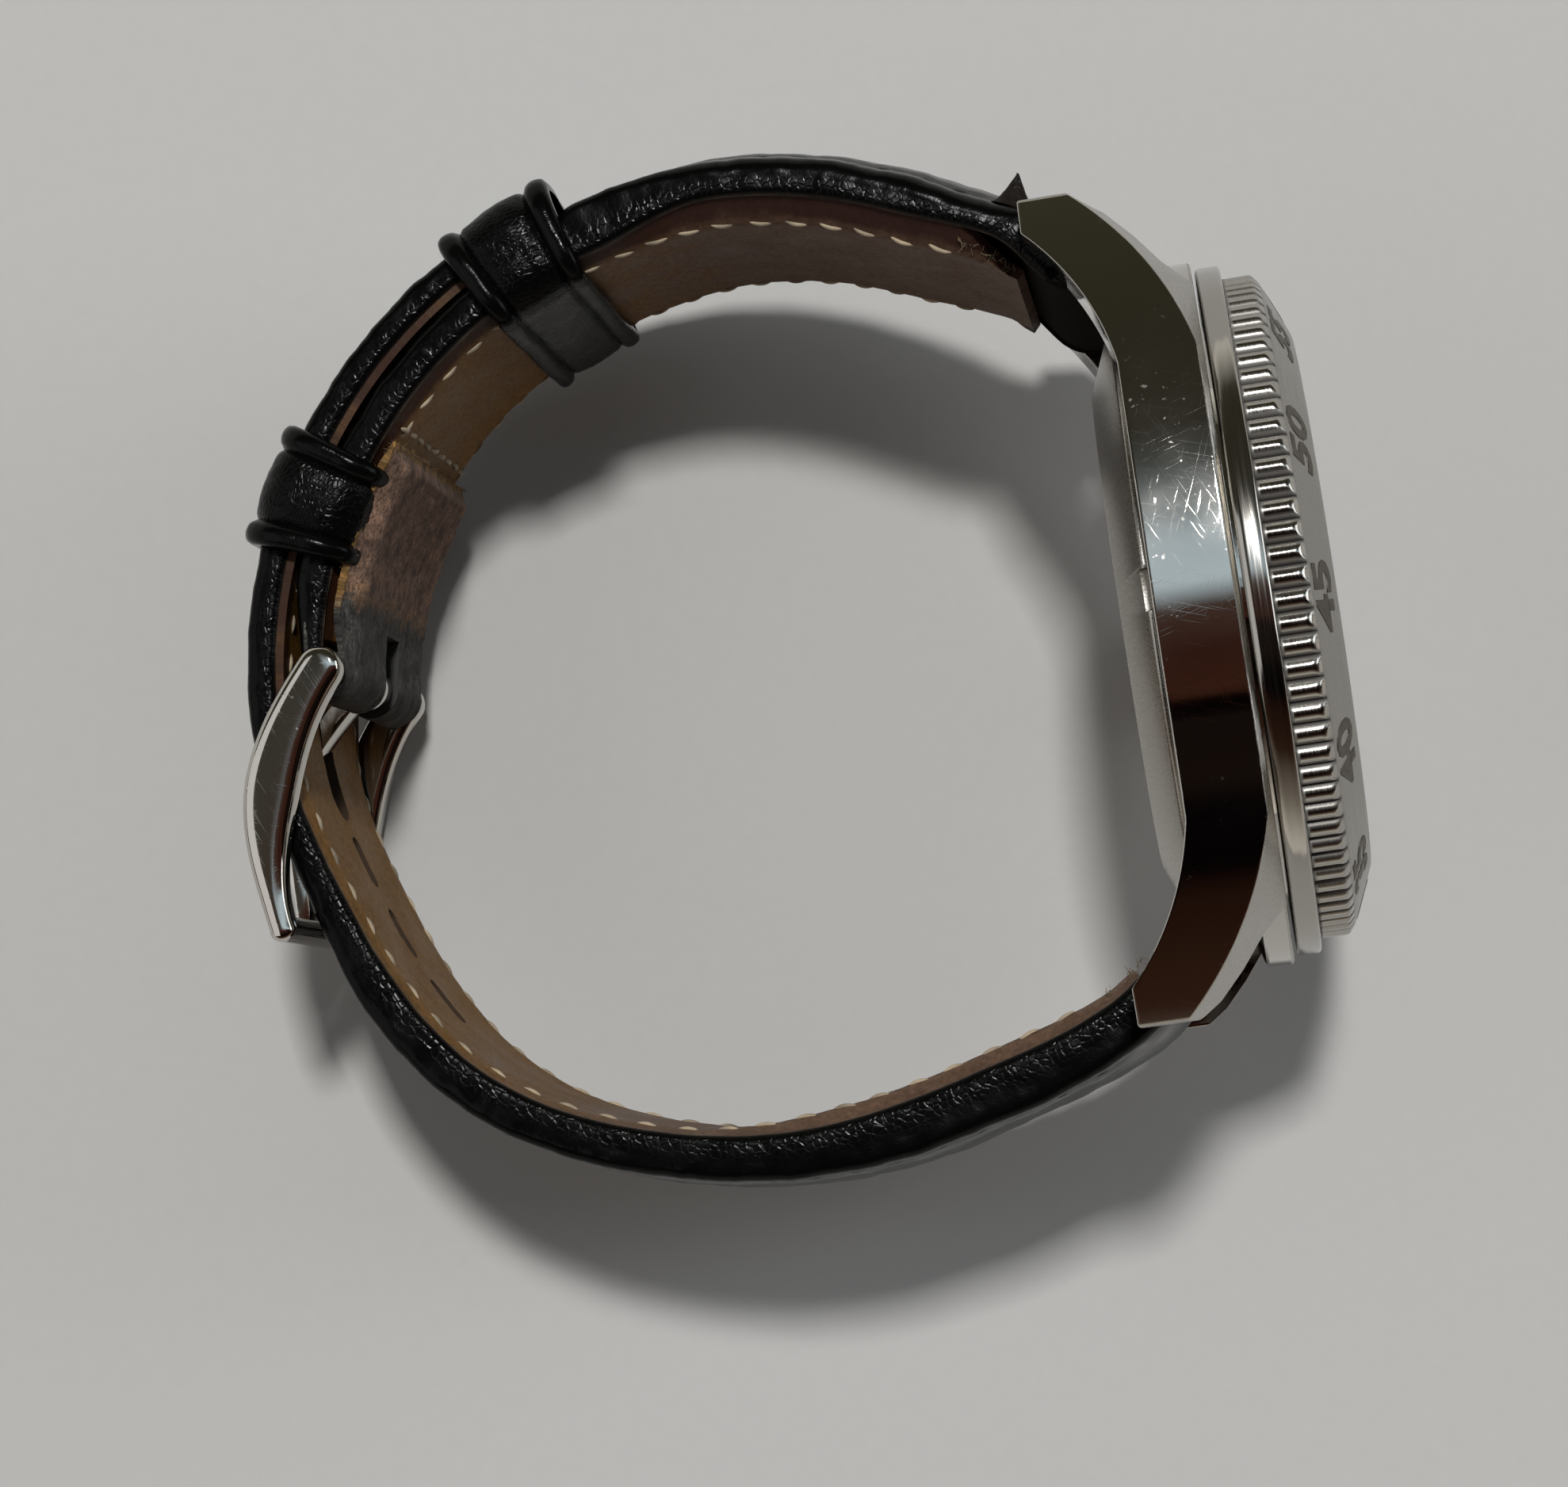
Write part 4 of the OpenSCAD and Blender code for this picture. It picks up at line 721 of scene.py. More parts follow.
class WATCH_OT_caseback(bpy.types.Operator):
    """Models the snap-on case back, with its pry notch"""

    bl_idname = "watch.caseback"
    bl_label = "Case back"

    def execute(self, context):
        back = turned("case_back", [
            (0.02, 0), (12.2, 0), (12.35, 0.08), (12.5, 0), (14.55, 0), (14.7, 0.06),
            (18.45, 1.6), (18.6, 1.75), (18.6, 1.95), (17.35, 1.95), (17.35, 2.8), (16.4, 2.8),
            (16.4, 1.2), (0.02, 1.2)], 240)
        notch = block("notch", (1.3, 2.4, 1.0), Vector((-18.6, 0, 2.0)) * MM)
        combined(back, notch, "DIFFERENCE")
        broken_edges(back, 0.05 * MM, 28, 2)
        steel = brushed_steel("brushed case back steel", (6, 0.08, 0.08))
        dressed(back, "root", "brushed_steel", [steel], "caseback")
        return {"FINISHED"}


FLUTES, COIN_R, COIN_LOW, COIN_HIGH = 96, 20.15, 8.68, 10.8
SLOPE_FOOT, SLOPE_HEAD = (19.68, 10.82), (16.3, 12.28)
NUMERAL_R, BEZEL_TURN = 18.0, -5.5


def slope_height(r):
    return mix(SLOPE_FOOT[1], SLOPE_HEAD[1],
               (SLOPE_FOOT[0] - r) / (SLOPE_FOOT[0] - SLOPE_HEAD[0]))


class WATCH_OT_bezel(bpy.types.Operator):
    """Models the turning bezel: a brushed band, a coin edge and a slope with minute numerals"""

    bl_idname = "watch.bezel"
    bl_label = "Bezel"

    def execute(self, context):
        sizes = context.scene.watch_sizes
        depth = sizes.flute_depth / MM
        coin = [(COIN_R, 8.72 + 0.16 * i, 1) for i in range(14)]
        # Radius, height and share of the flutes' depth
        profile = [(17.73, 7.15, 0), (20.7, 7.15, 0), (20.9, 7.2, 0), (21.0, 7.32, 0),
                   (21.0, 7.7, 0), (21.0, 8.1, 0), (21.0, 8.45, 0), (20.93, 8.58, 0),
                   (20.8, 8.65, 0), (20.2, 8.67, 1)] + coin
        profile += [(*SLOPE_FOOT, 0.25), (19.3, slope_height(19.3), 0.0)]
        profile += [(r, slope_height(r), 0) for r in (18.6, 17.8, 17.0, 16.45)]
        profile += [(16.3, 12.27, 0), (16.2, 12.3, 0), (16.03, 12.3, 0), (15.95, 12.22, 0),
                    (15.95, 11.3, 0), (17.73, 11.3, 0), (17.73, 7.15, 0)]
        last = len(profile) - 1
        run = [0.0]
        for (r0, z0, _), (r1, z1, _) in zip(profile, profile[1:]):
            run.append(run[-1] + math.hypot(r1 - r0, z1 - z0))

        def place(u, v):
            i = round(v * last)
            r, z, cut = profile[i]
            turn = 2 * math.pi * u
            ridge = abs(math.sin(FLUTES * turn / 2)) ** 0.7
            groove = 0.0
            if cut:
                wall = COIN_R - depth * (1 - ridge)
                lid = COIN_R - max(0.0, z - 10.42) * 1.25
                foot = COIN_R + max(0.0, 8.8 - z) * 4
                r = min(r, lid, max(wall, min(foot, 20.4) if z < 8.7 else wall))
                groove = smooth((1 - ridge) * 1.5 - 0.25) * cut
            # The wear attribute is highest at the bottom of each flute and at the foot of the coin
            # edge, and darkens the steel there
            if z < 8.75 and 19.6 < r < 20.6:
                groove = max(groove, 0.7)
            spot = Vector((r * math.cos(turn), r * math.sin(turn), z)) * MM
            return spot, (turn * 20 * MM, run[i] * MM), groove

        ring = sewn(drawn("bezel_ring_dressed", FLUTES * 10, last, place), 42)
        for face in ring.data.polygons:
            high = face.center.z / MM
            face.material_index = 0 if high > COIN_HIGH else 1 if high > COIN_LOW else 2
        # The slope's steel is a darker copy of the band's steel: painted shade
        steel = brushed_steel("brushed bezel steel darkened by painted shade", (6, 0.08, 1), ring=True, tone=0.58)
        satin = brushed_steel("satin bezel band steel", (6, 0.08, 1), ring=True, keen=0.4)
        bright = brushed_steel("polished coin edge steel", (0.4, 0.1, 1), ring=True, keen=0.5)
        dressed(ring, "bezel", "brushed_steel", [steel, bright, satin], "bezel_ring")
        numerals = []
        for hour in range(12):
            bpy.ops.object.text_add()
            words = bpy.context.object
            words.data.body = str(5 * hour) if hour else "60"
            # A figure is 0.72 of the text's size
            words.data.size = sizes.numeral_h / 0.72
            words.data.align_x, words.data.align_y = "CENTER", "CENTER"
            words.data.resolution_u = 3
            words.data.extrude, words.data.offset = 0.04 * MM, 0.07 * MM
            words.data.bevel_depth, words.data.bevel_resolution = 0.04 * MM, 1
            only(words)
            bpy.ops.object.convert(target="MESH")
            figure = bpy.context.object
            for vertex in figure.data.vertices:
                out = NUMERAL_R + vertex.co.y / MM * 0.92
                turn = math.radians(30 * hour + BEZEL_TURN) + 1.25 * vertex.co.x / MM / out
                high = slope_height(out) + vertex.co.z / MM - 0.03
                vertex.co = Vector((out * math.sin(turn), out * math.cos(turn), high)) * MM
            numerals.append(figure)
        figures = joined("bezel_numerals", numerals)
        # The figures are bare steel; their dark colour is painted shade of the engraving
        dark = plain_metal("engraved steel darkened by painted shade", "#5e5951", 0.45)
        dressed(figures, "bezel", "brushed_steel", [dark])
        return {"FINISHED"}


class WATCH_OT_crystal(bpy.types.Operator):
    """Models the crystal with its bevelled edge"""

    bl_idname = "watch.crystal"
    bl_label = "Crystal"

    def execute(self, context):
        glass = turned("crystal_glass", [
            (0.01, 10.3), (15.17, 10.3), (15.17, 11.65), (14.75, 12.05), (8.0, 12.09),
            (0.01, 12.1)], 160)
        dressed(glass, "root", "glass", [clear_glass()], "crystal")
        return {"FINISHED"}


# Strap

FURROW_IN, FURROW_W, FURROW_D = 1.9, 0.42, 0.22
HOLE_A, HOLE_PITCH = 184, 5
ROUND = 68


def tail(a):
    """0 on the padded part of the long strap, 1 on its thin tail past the buckle."""
    return smooth((186 - a) / 12)


def short_levels(a):
    """Radii of the short strap at a: lining, edge of the lining, outer edge and middle."""
    lining = mix(26.1 + 1.2 * smooth((66 - a) / 20), UNDER_R, smooth((a - 85) / 20))
    turn, late = smooth((a - 88) / 16), smooth((a - 104) / 6)
    edge = lining + mix(1.4, 0.5, turn)
    heel = smooth((a - HEEL_A + 12) / 10)
    rim = mix(mix(31.2, 29.5, smooth((a - BAR_12) / 14)), mix(28.3, 27.5, heel), late)
    top = mix(short_in(a) + short_thick(a), HEEL_R + 1.75, heel)
    return lining, edge, rim, max(top, rim + 0.1)


def long_levels(a):
    """Radii of the long strap at a; its tail has a thin lining with a bare edge."""
    out, dent = 1.15 * hill(a, 229, 20), 0.55 * hill(a, 283, 16)
    low = long_in(a) + out
    bulge = 0.6 * smooth((a - 252) / 22) * mix(1, 0.5, smooth((a - 298) / 14))
    edge = low + mix(0.3, 0.36, tail(a))
    rim = mix(mix(30.8, 32.0, smooth((a - 284) / 24)) + out, edge + 1.9, smooth((216 - a) / 20))
    top = low + long_thick(a) - 0.2 * smooth((152 - a) / 8)
    return low - bulge - dent, edge - dent, rim, max(top, rim + 0.1)


# Way round the wrist, spring bar's angle and radius, width, radii, and whether it is the long one
SHORT = (1, BAR_12, BAR_12_R, short_wide, short_levels, False)
LONG = (-1, BAR_6, BAR_6_R, long_wide, long_levels, True)


def lips(a, long):
    """How far the outer leather is turned round the edge: 1, or 0 on the long strap's tail."""
    return 1 - tail(a) if long else 1.0


def dome(x, half, rim, top, groove):
    """The padded outer face at x, with the furrow that the stitches pull."""
    r = mix(top, rim, (abs(x) / half) ** 2.6)
    r -= groove * hill(abs(x), half - FURROW_IN, FURROW_W)
    corner = 0.6
    k = (corner - (half - abs(x))) / corner
    return r - corner * (1 - math.sqrt(max(0.0, 1 - k * k))) if k > 0 else r


def lining_face(x, half, lining, edge):
    """The lining's inner face at x: flat to the stitches, then rising to the strap's edge."""
    return edge - (edge - lining) * smooth((half - 0.4 - abs(x)) / 1.7)


def strip_section(v, half, face, back):
    """A point v of the way round a flat strip: x, and 0 on its face to 1 on its back.

    The face and the back have that many steps, and each edge has four.
    """
    around = face + back + 8
    k = round(v * around) % around
    if k <= face:
        return half * math.sin(math.pi / 2 * (2 * k / face - 1)), 0.0
    if k <= face + 4:
        return half, (k - face) / 4
    if k <= face + 4 + back:
        return half * (1 - 2 * (k - face - 4) / back), 1.0
    return -half, (around - k) / 4


def upper_section(v, half, edge, rim, top, groove, lip):
    """A point of the outer leather's section, and how rubbed it is there, with the painted
    highlight on the turned edge's rim.

    It goes round in ROUND steps: underside, turned edge, padded top, turned edge.
    """
    k = round(v * ROUND)
    if k > 40:
        x, r, rub_and_highlight = upper_section((80 - k) / ROUND, half, edge, rim, top, groove, lip)
        return -x, r, rub_and_highlight
    seat, foot = edge + 0.33, edge + mix(0.1, -0.03, lip)
    if k <= 12:
        return (half - 0.5) * (k / 6 - 1), seat, 0.0
    # The pale mark set round the turned edge here is rubbed wear plus a painted highlight on the
    # rim
    if k <= 14:
        t = (k - 12) / 2
        return half - mix(0.5, 0.42, t), mix(seat, foot, t), 0.6 * t
    soft = min(0.55, 0.4 * (rim - foot))
    if k <= 20:
        t = math.pi / 2 * (k - 14) / 6
        return half - 0.42 * (1 - math.sin(t)), foot + soft * (1 - math.cos(t)), max(
            0.1, 1 - (k - 14) / 3)
    if k <= 24:
        t = (k - 20) / 4
        return half, mix(foot + soft, rim - 0.6, t), 0.1 * max(0.0, 1 - 1.5 * t)
    x = half * math.cos(math.pi * (k - 24) / 32)
    return x, dome(x, half, rim, top, groove), 0.0


class WATCH_OT_straps(bpy.types.Operator):
    """Models the padded outer leather of both straps, with the holes of the long one"""

    bl_idname = "watch.straps"
    bl_label = "Straps"

    def execute(self, context):
        crease = context.scene.watch_sizes.crease / MM
        # Reach past the spring bar, and half the thickness there
        nose, wrap = 2.4, 1.9

        def upper(strap, end, seed):
            way, bar, bar_r, wide_of, levels_of, long = strap

            def place(u, v):
                s = mix(-nose * 0.985, end, u)
                a = bar + way * s * DEG
                inside = way * max(s, 0.0) * DEG + bar
                _, edge, rim, top = levels_of(inside)
                start = smooth(s / 5)
                h = wrap * math.sqrt(1 - (s / nose) ** 2) if s < 0 else wrap
                edge = mix(bar_r - (1.0 if long else 1.25) * h, edge, start)
                rim = max(edge + 0.5 * h, mix(bar_r + 0.55 * h, rim, start))
                top = max(rim + 0.05, mix(bar_r + h, top, start))
                half = wide_of(inside) / 2 - (0.2 if s < 0 else 0)
                groove = FURROW_D * smooth((s - 3) / 3)
                x, r, rub_and_highlight = upper_section(v, half, edge, rim, top, groove, lips(a, long) * start)
                if r > edge + 0.4:
                    r += crease * (ripple(s * 0.45, x * 0.12, seed)
                                   + 0.5 * ripple(s * 1.3, x * 0.3, seed + 3))
                if abs(x) > half - 0.7:
                    x += math.copysign(0.1 * ripple(s * 0.5, r * 0.6, seed + 5)
                                       + 0.05 * ripple(s * 2.2, r * 1.5, seed + 6), x)
                return on_wrist(x, r, a), (s * MM, (x + r) * MM), rub_and_highlight
            return place

        leather = black_leather()
        short = upper(SHORT, (HEEL_A - 1.5 - BAR_12) / DEG, 1)
        piece = sewn(drawn("short_strap_upper", 240, ROUND, short), 50)
        # The worn lining bares the leather's flesh side round the spring bar
        flesh = plain_solid("frayed leather flesh", "#1b1815", 0.95, Specular_IOR_Level=0.05)
        for face in piece.data.polygons:
            spot = face.center / MM - Vector((0, WRIST_Y, WRIST_Z))
            low = math.hypot(spot.y, spot.z) < BAR_12_R + 0.6 and abs(spot.x) < 10.5
            if low and spot.y < 22.6 and spot.z > 15:
                face.material_index = 1
        dressed(piece, "root", "black_leather", [leather, flesh], "strap_12_upper", padded=0.8)
        long = upper(LONG, (BAR_6 - TIP_A) / DEG, 7)
        piece = sewn(drawn("long_strap_upper", 360, ROUND, long), 50)
        piece.data.materials.append(leather)
        punch(piece)
        dressed(piece, "root", "black_leather", [leather], "strap_6_upper", padded=0.8)
        return {"FINISHED"}


def punch(piece):
    """Cuts the row of holes; all but the tongue's own are narrow slits."""
    cut = plain_solid("raw cut leather", "#3a2a1b", 0.9)
    for i in range(-3, 4):
        a = HOLE_A + i * HOLE_PITCH * DEG + (-1.4 if i == 0 else math.copysign(2, i))
        wide, long = (2.8, 7.8) if i == 0 else (1.5, 3.5)
        ring = []
        for k in range(24):
            t = 2 * math.pi * k / 24
            shift = math.copysign((long - wide) / 2, math.sin(t))
            ring.append((wide / 2 * math.cos(t), wide / 2 * math.sin(t) + shift))
        tool = plate("punch", ring, -5, 5, 2)
        tool.data.materials.append(cut)
        tool.data.transform(Matrix.Translation(on_wrist(0, WRIST_R + 1.5, a))
                            @ Matrix.Rotation(math.radians(-a), 4, "X"))
        combined(piece, tool, "DIFFERENCE", "TRANSFER")


class WATCH_OT_linings(bpy.types.Operator):
    """Models the linings of both straps"""

    bl_idname = "watch.linings"
    bl_label = "Linings"

    def execute(self, context):
        steps = 28, 8
        around = sum(steps) + 8

        def layer(strap, first, last, seed):
            way, bar, _, wide_of, levels_of, long = strap

            def place(u, v):
                s = mix(first, last, u)
                a = bar + way * s * DEG
                lining, edge, _, _ = levels_of(a)
                lip = lips(a, long)
                full = wide_of(a) / 2
                half = full - mix(0.3, 0.46, lip)
                x, depth = strip_section(v, half, *steps)
                calm = 1 - (abs(x) / half) ** 8
                face = mix(lining, lining_face(x, full, lining, edge), lip) + calm * (
                    0.06 * ripple(s * 0.5, x * 0.25, seed)
                    + 0.03 * ripple(s * 1.7, x * 1.1, seed + 1))
                r = mix(face, edge + 0.3, depth)
                dye = smooth((abs(x) - full + 2.6) / 1.5) * (mix(0.9, 0.45, lip) if long else 1)
                if not long:
                    # The near corner by the lug is worn away, and the end hangs loose
                    gone = 4.0 * smooth((57 - a) / 9) * (1 + 0.25 * ripple(s * 1.6, 3, seed))
                    if x < gone - half:
                        x = gone - half + 0.1 * (x + half - gone)
                        r += 0.5 * smooth((57 - a) / 5) * (depth == 0)
                    loose = smooth((6.5 - s) / 4)
                    r = mix(r, lining + 0.12 + (0.7 if depth >= 0.5 else 0), loose)
                return on_wrist(x, r, a), (s * MM, x * MM), dye
            return place

        short = layer(SHORT, 4.3 / DEG, (HEEL_A - 4.4 - BAR_12) / DEG, 11)
        piece = sewn(drawn("short_strap_lining", 220, around, short), 50)
        leather = lining_leather("short strap lining leather", (22, 34))
        dressed(piece, "root", "lining_leather", [leather], "strap_12_lining")
        long = layer(LONG, 1.2, (BAR_6 - TIP_A) / DEG - 0.4, 12)
        piece = sewn(drawn("long_strap_lining", 300, around, long), 50)
        leather = lining_leather("long strap lining leather", (30, 46))
        piece.data.materials.append(leather)
        punch(piece)
        dressed(piece, "root", "lining_leather", [leather], "strap_6_lining")
        return {"FINISHED"}


class WATCH_OT_stitches(bpy.types.Operator):
    """Sews both straps: pale thread on the linings, black thread outside"""

    bl_idname = "watch.stitches"
    bl_label = "Stitches"

    def execute(self, context):
        sizes, colours = context.scene.watch_sizes, context.scene.watch_colours
        pitch, line = sizes.stitch_pitch / MM, sizes.stitch_in / MM
        pale = thread("waxed pale linen thread", colours.thread)
        black = thread("waxed black linen thread", hex_linear("#0a0909"))

        def laid(x, r, a, slant):
            out, along = wrist_ways(a)
            turn = Matrix((along, (1, 0, 0), out)).transposed().to_4x4()
            return Matrix.Translation(on_wrist(x, r, a)) @ turn @ Matrix.Rotation(slant, 4, "Z")

        rows = [("short", SHORT, 7.0, (HEEL_A - 8 - BAR_12) / DEG),
                ("long", LONG, 6.0, (BAR_6 - TIP_A - 9) / DEG)]
        for name, strap, first, last in rows:
            way, bar, _, wide_of, levels_of, _ = strap
            for outside in (False, True):
                chance = random.Random(name + str(outside))
                places = []
                for side in (-1, 1):
                    s = first
                    while s < last:
                        a = bar + way * s * DEG
                        half = wide_of(a) / 2
                        lining, edge, rim, top = levels_of(a)
                        if outside:
                            x = half - FURROW_IN
                            r = dome(x, half, rim, top, FURROW_D) + 0.05
                        else:
                            x = half - line
                            r = lining_face(x, half, lining, edge) - 0.02
                        x += chance.uniform(-0.08, 0.08)
                        slant = side * 0.16 + chance.uniform(-0.08, 0.08)
                        places.append(laid(side * x, r, a, slant))
                        s += pitch * chance.uniform(0.94, 1.06)
                if name == "short" and not outside:
                    # The seam across the strap, by the flap's cut edge
                    seam = FLAP_A - 2.2
                    r = short_levels(seam)[0] - 0.06
                    for i in range(9):
                        a = seam + chance.uniform(-0.1, 0.1)
                        slant = math.pi / 2 + chance.uniform(-0.15, 0.15)
                        places.append(laid(-8.2 + 2.05 * i, r, a, slant))
                drop_selection()
                bpy.ops.mesh.primitive_uv_sphere_add(segments=10, ring_count=8, radius=0.5)
                stitch = bpy.context.object
                bpy.ops.object.mode_set(mode="EDIT")
                bpy.ops.transform.resize(value=(sizes.stitch_l, sizes.stitch_w,
                                                0.7 * sizes.stitch_w))
                bpy.ops.object.mode_set(mode="OBJECT")
                for vertex in stitch.data.vertices:
                    reach = abs(vertex.co.x) / (sizes.stitch_l / 2)
                    vertex.co.z -= 0.18 * MM * reach**2 * (1 if outside else -1)
                bpy.ops.object.shade_smooth()
                label = name + ("_outer" if outside else "_lining") + "_stitches"
                row = copied(label, [stitch], [(stitch, place) for place in places])
                dressed(row, "root", "black_leather" if outside else "lining_leather",
                        [black if outside else pale])
        return {"FINISHED"}


# Keepers, flap and buckle

KEEPER_W, KEEPER_CORNER, KEEPER_T = 10.66, 1.7, 0.5
HEEL_EYE, FRONT_R, BORE_R = 1.35, 0.8, 0.85


def loop_path(half, low, high, corner, closed):
    """Points (x, r, out x, out r) round a keeper's opening, starting inside the strap."""
    spots = []
    reach = half - corner
    stops = [(reach, low + corner, -90), (reach, high - corner, 0), (-reach, high - corner, 90),
             (-reach, low + corner, 180)]
    start = 0.0 if closed else half - 3.2
    for i in range(12):
        spots.append((mix(start, reach, i / 12), low, 0.0, -1.0))
    for k, (cx, cr, turn) in enumerate(stops):
        for i in range(9):
            t = math.radians(turn + 90 * i / 8)
            spots.append((cx + corner * math.cos(t), cr + corner * math.sin(t),
                          math.cos(t), math.sin(t)))
        if k == 0 or k == 2:
            y0, y1 = (low + corner, high - corner) if k == 0 else (high - corner, low + corner)
            side = 1.0 if k == 0 else -1.0
            for i in range(1, 8):
                spots.append((side * half, mix(y0, y1, i / 8), side, 0.0))
        elif k == 1:
            for i in range(1, 32):
                spots.append((mix(reach, -reach, i / 32), high, 0.0, 1.0))
    for i in range(1, 13):
        spots.append((mix(-reach, -start, i / 12), low, 0.0, -1.0))
    return spots


def keeper(name, middle, low, high, closed, seed):
    """A band of leather round the straps with a rolled ridge along each edge."""
    spots = loop_path(KEEPER_W, low, high, KEEPER_CORNER, closed)
    last = len(spots) - 1
    half_l, around = 3.4, 64

    def place(u, v):
        i, k = round(u * last), round(v * around)
        x, r, nx, nr = spots[i]
        flat = nr < -0.9
        wear = 0.0
        if k <= 10:
            s, t = half_l * (k / 5 - 1), 0.0
        elif k <= 13:
            s, t = half_l, KEEPER_T * (k - 10) / 3
        elif k >= 61:
            s, t = -half_l, KEEPER_T * (around - k) / 3
        else:
            e = mix(1, -1, (k - 13) / 48)
            s, e = half_l * e, abs(e)
            ridge = 1 - ((e - 0.8) / 0.2) ** 2
            t = 0.6 + 0.22 * (1 - (e / 0.6) ** 2)
            if ridge > 0:
                t = KEEPER_T + 0.48 * math.sqrt(ridge)
            t -= 0.14 * hill(e, 0.59, 0.05)
            t += 0.1 * ripple(x * 0.45 + r * 0.4, s * 0.5, seed)
            t += 0.06 * ripple(x * 1.4 + r, s * 1.5, seed + 1)
            wear = 0.2 if flat else 0.07 * (e < 0.6)
        t *= 0.8 if flat else 1.0
        crook = 0.16 * ripple(x * 0.2, r * 0.2, seed + 3)
        a = middle + math.degrees((s + crook) / WRIST_R)
        return on_wrist(x + nx * t, r + nr * t, a), (i * 0.6 * MM, s * MM), wear

    return sewn(drawn(name, last, around, place), 55)


class WATCH_OT_keepers(bpy.types.Operator):
    """Models the fixed and the free keeper"""

    bl_idname = "watch.keepers"
    bl_label = "Keepers"

    def execute(self, context):
        leather = black_leather()
        free = keeper("free_keeper_band", 113.0, 25.45, 31.05, True, 21)
        dressed(free, "loose_keeper", "black_leather", [leather], "free_keeper")
        fixed = keeper("fixed_keeper_band", 152.0, 25.6, 31.1, False, 22)
        dressed(fixed, "root", "black_leather", [leather], "fixed_keeper")
        return {"FINISHED"}


class WATCH_OT_flap(bpy.types.Operator):
    """Models the turned-back end of the short strap, from its cut edge to the buckle's bar"""

    bl_idname = "watch.flap"
    bl_label = "Flap"

    def execute(self, context):
        # Its lengths: flat on the strap, round the bar, and back between the layers
        flat = (HEEL_A - FLAP_A) / DEG * HEEL_R / WRIST_R
        wrap = math.pi * 1.33
        tuck = 3.0
        total = flat + wrap + tuck
        steps = 44, 28

        def place(u, v):
            s = mix(0.0, total, u)
            end = smooth(1 - s / 1.2)
            frayed = smooth((flat + 1 - s) / 3)
            half = 10.0 - 0.4 * end
            x, depth = strip_section(v, half, *steps)
            lift = smooth((abs(x) - half + 1.7) / 1.7) * mix(0.55, 0.7, frayed)
            h = mix(lift, 1, depth)
            h = mix(h, 0.5 + 0.5 * h, end)
            rim = smooth((abs(x) - half + 1.0) / 1.0)
            x += math.copysign(1, x) * rim * frayed * (
                0.22 * ripple(s * 0.9, 5, 31) + 0.16 * ripple(s * 3.1, 6 + h, 35)
                + 0.1 * ripple(s * 8.0, 7 + 2 * h, 36))
            rag = end * (0.3 * ripple(x * 0.7, 1, 33) + 0.2 * ripple(x * 3.3, 2, 37))
            bumps = 0.08 * ripple(s * 0.6, x * 0.3, 34) + 0.05 * ripple(s * 2.4, x * 1.6, 38)
            if s <= flat:
                a = mix(FLAP_A, HEEL_A, s / flat) + rag
                near = smooth((s - flat + 4) / 4)
                low = mix(UNDER_R - 1.55, HEEL_R - 1.8, near) + bumps * (h < 0.9)
                spot = on_wrist(x, low + h * mix(1.45, 0.92, near), a)
            else:
                turn = min(1.0, (s - flat) / wrap) * math.pi
                back = max(0.0, s - flat - wrap)
                ring = mix(1.8 - bumps, 0.88, h)
                out, on = wrist_ways(HEEL_A)
                centre = Vector((x, HEEL_AT.x, HEEL_AT.y))
                spot = centre + (-out * math.cos(turn) + on * math.sin(turn)) * ring - on * back
                spot = spot * MM
            gold = smooth((abs(x) - half + 0.5) / 0.5) * smooth((flat - 2 - s) / 4)
            gold = 0.8 * max(gold, smooth(1.2 - s / 0.7))
            return spot, (s * MM, x * MM), gold

        flap = sewn(drawn("turned_back_flap", 260, sum(steps) + 8, place), 50)
        slot_a = HEEL_A + 2
        tongue_slot = block("slot", (3.4, 7.6, 8.4), on_wrist(0, HEEL_R, slot_a),
                            math.radians(-slot_a))
        combined(flap, tongue_slot, "DIFFERENCE")
        dressed(flap, "root", "suede", [napped_suede()], "turn_back_flap")
        return {"FINISHED"}


def left_of(way):
    """The direction square to a way in (y, z)."""
    return Vector((-way.y, way.x)) / way.length


BUCKLE_WAY = FRONT_AT - HEEL_AT
BUCKLE_OUT = left_of(BUCKLE_WAY)


def arm_middle(s):
    """The buckle arm's middle line, from the heel bar at 0 to the front bar at 1."""
    return HEEL_AT + BUCKLE_WAY * s + BUCKLE_OUT * 1.9 * 4 * s * (1 - s)


def arm_half(s):
    """Half the arm's height."""
    if s < 0.45:
        return mix(HEEL_EYE, 1.6, smooth(s / 0.45))
    return mix(1.6, 0.75, smooth((s - 0.45) / 0.55))


def tongue_middle(s):
    """The tongue's middle line, from the heel bar at 0 to just past the front bar at 1."""
    hump = 2.6 * 4 * s * (1 - s) * (1 if s < 0.5 else smooth(2 - 2 * s))
    return HEEL_AT + BUCKLE_WAY * s * 1.03 + BUCKLE_OUT * (1.45 * smooth(s / 0.8) + hump)


def ribbon(middle, half, first, last, n):
    """The outline of a bar of changing thickness along a middle line."""
    sides = ([], [])
    for i in range(n + 1):
        s = mix(first, last, i / n)
        way = middle(s + 0.01) - middle(s - 0.01)
        out = left_of(way)
        for sign, side in zip((1, -1), sides):
            side.append(tuple(middle(s) + sign * half(s) * out))
    return sides[0] + sides[1][::-1]


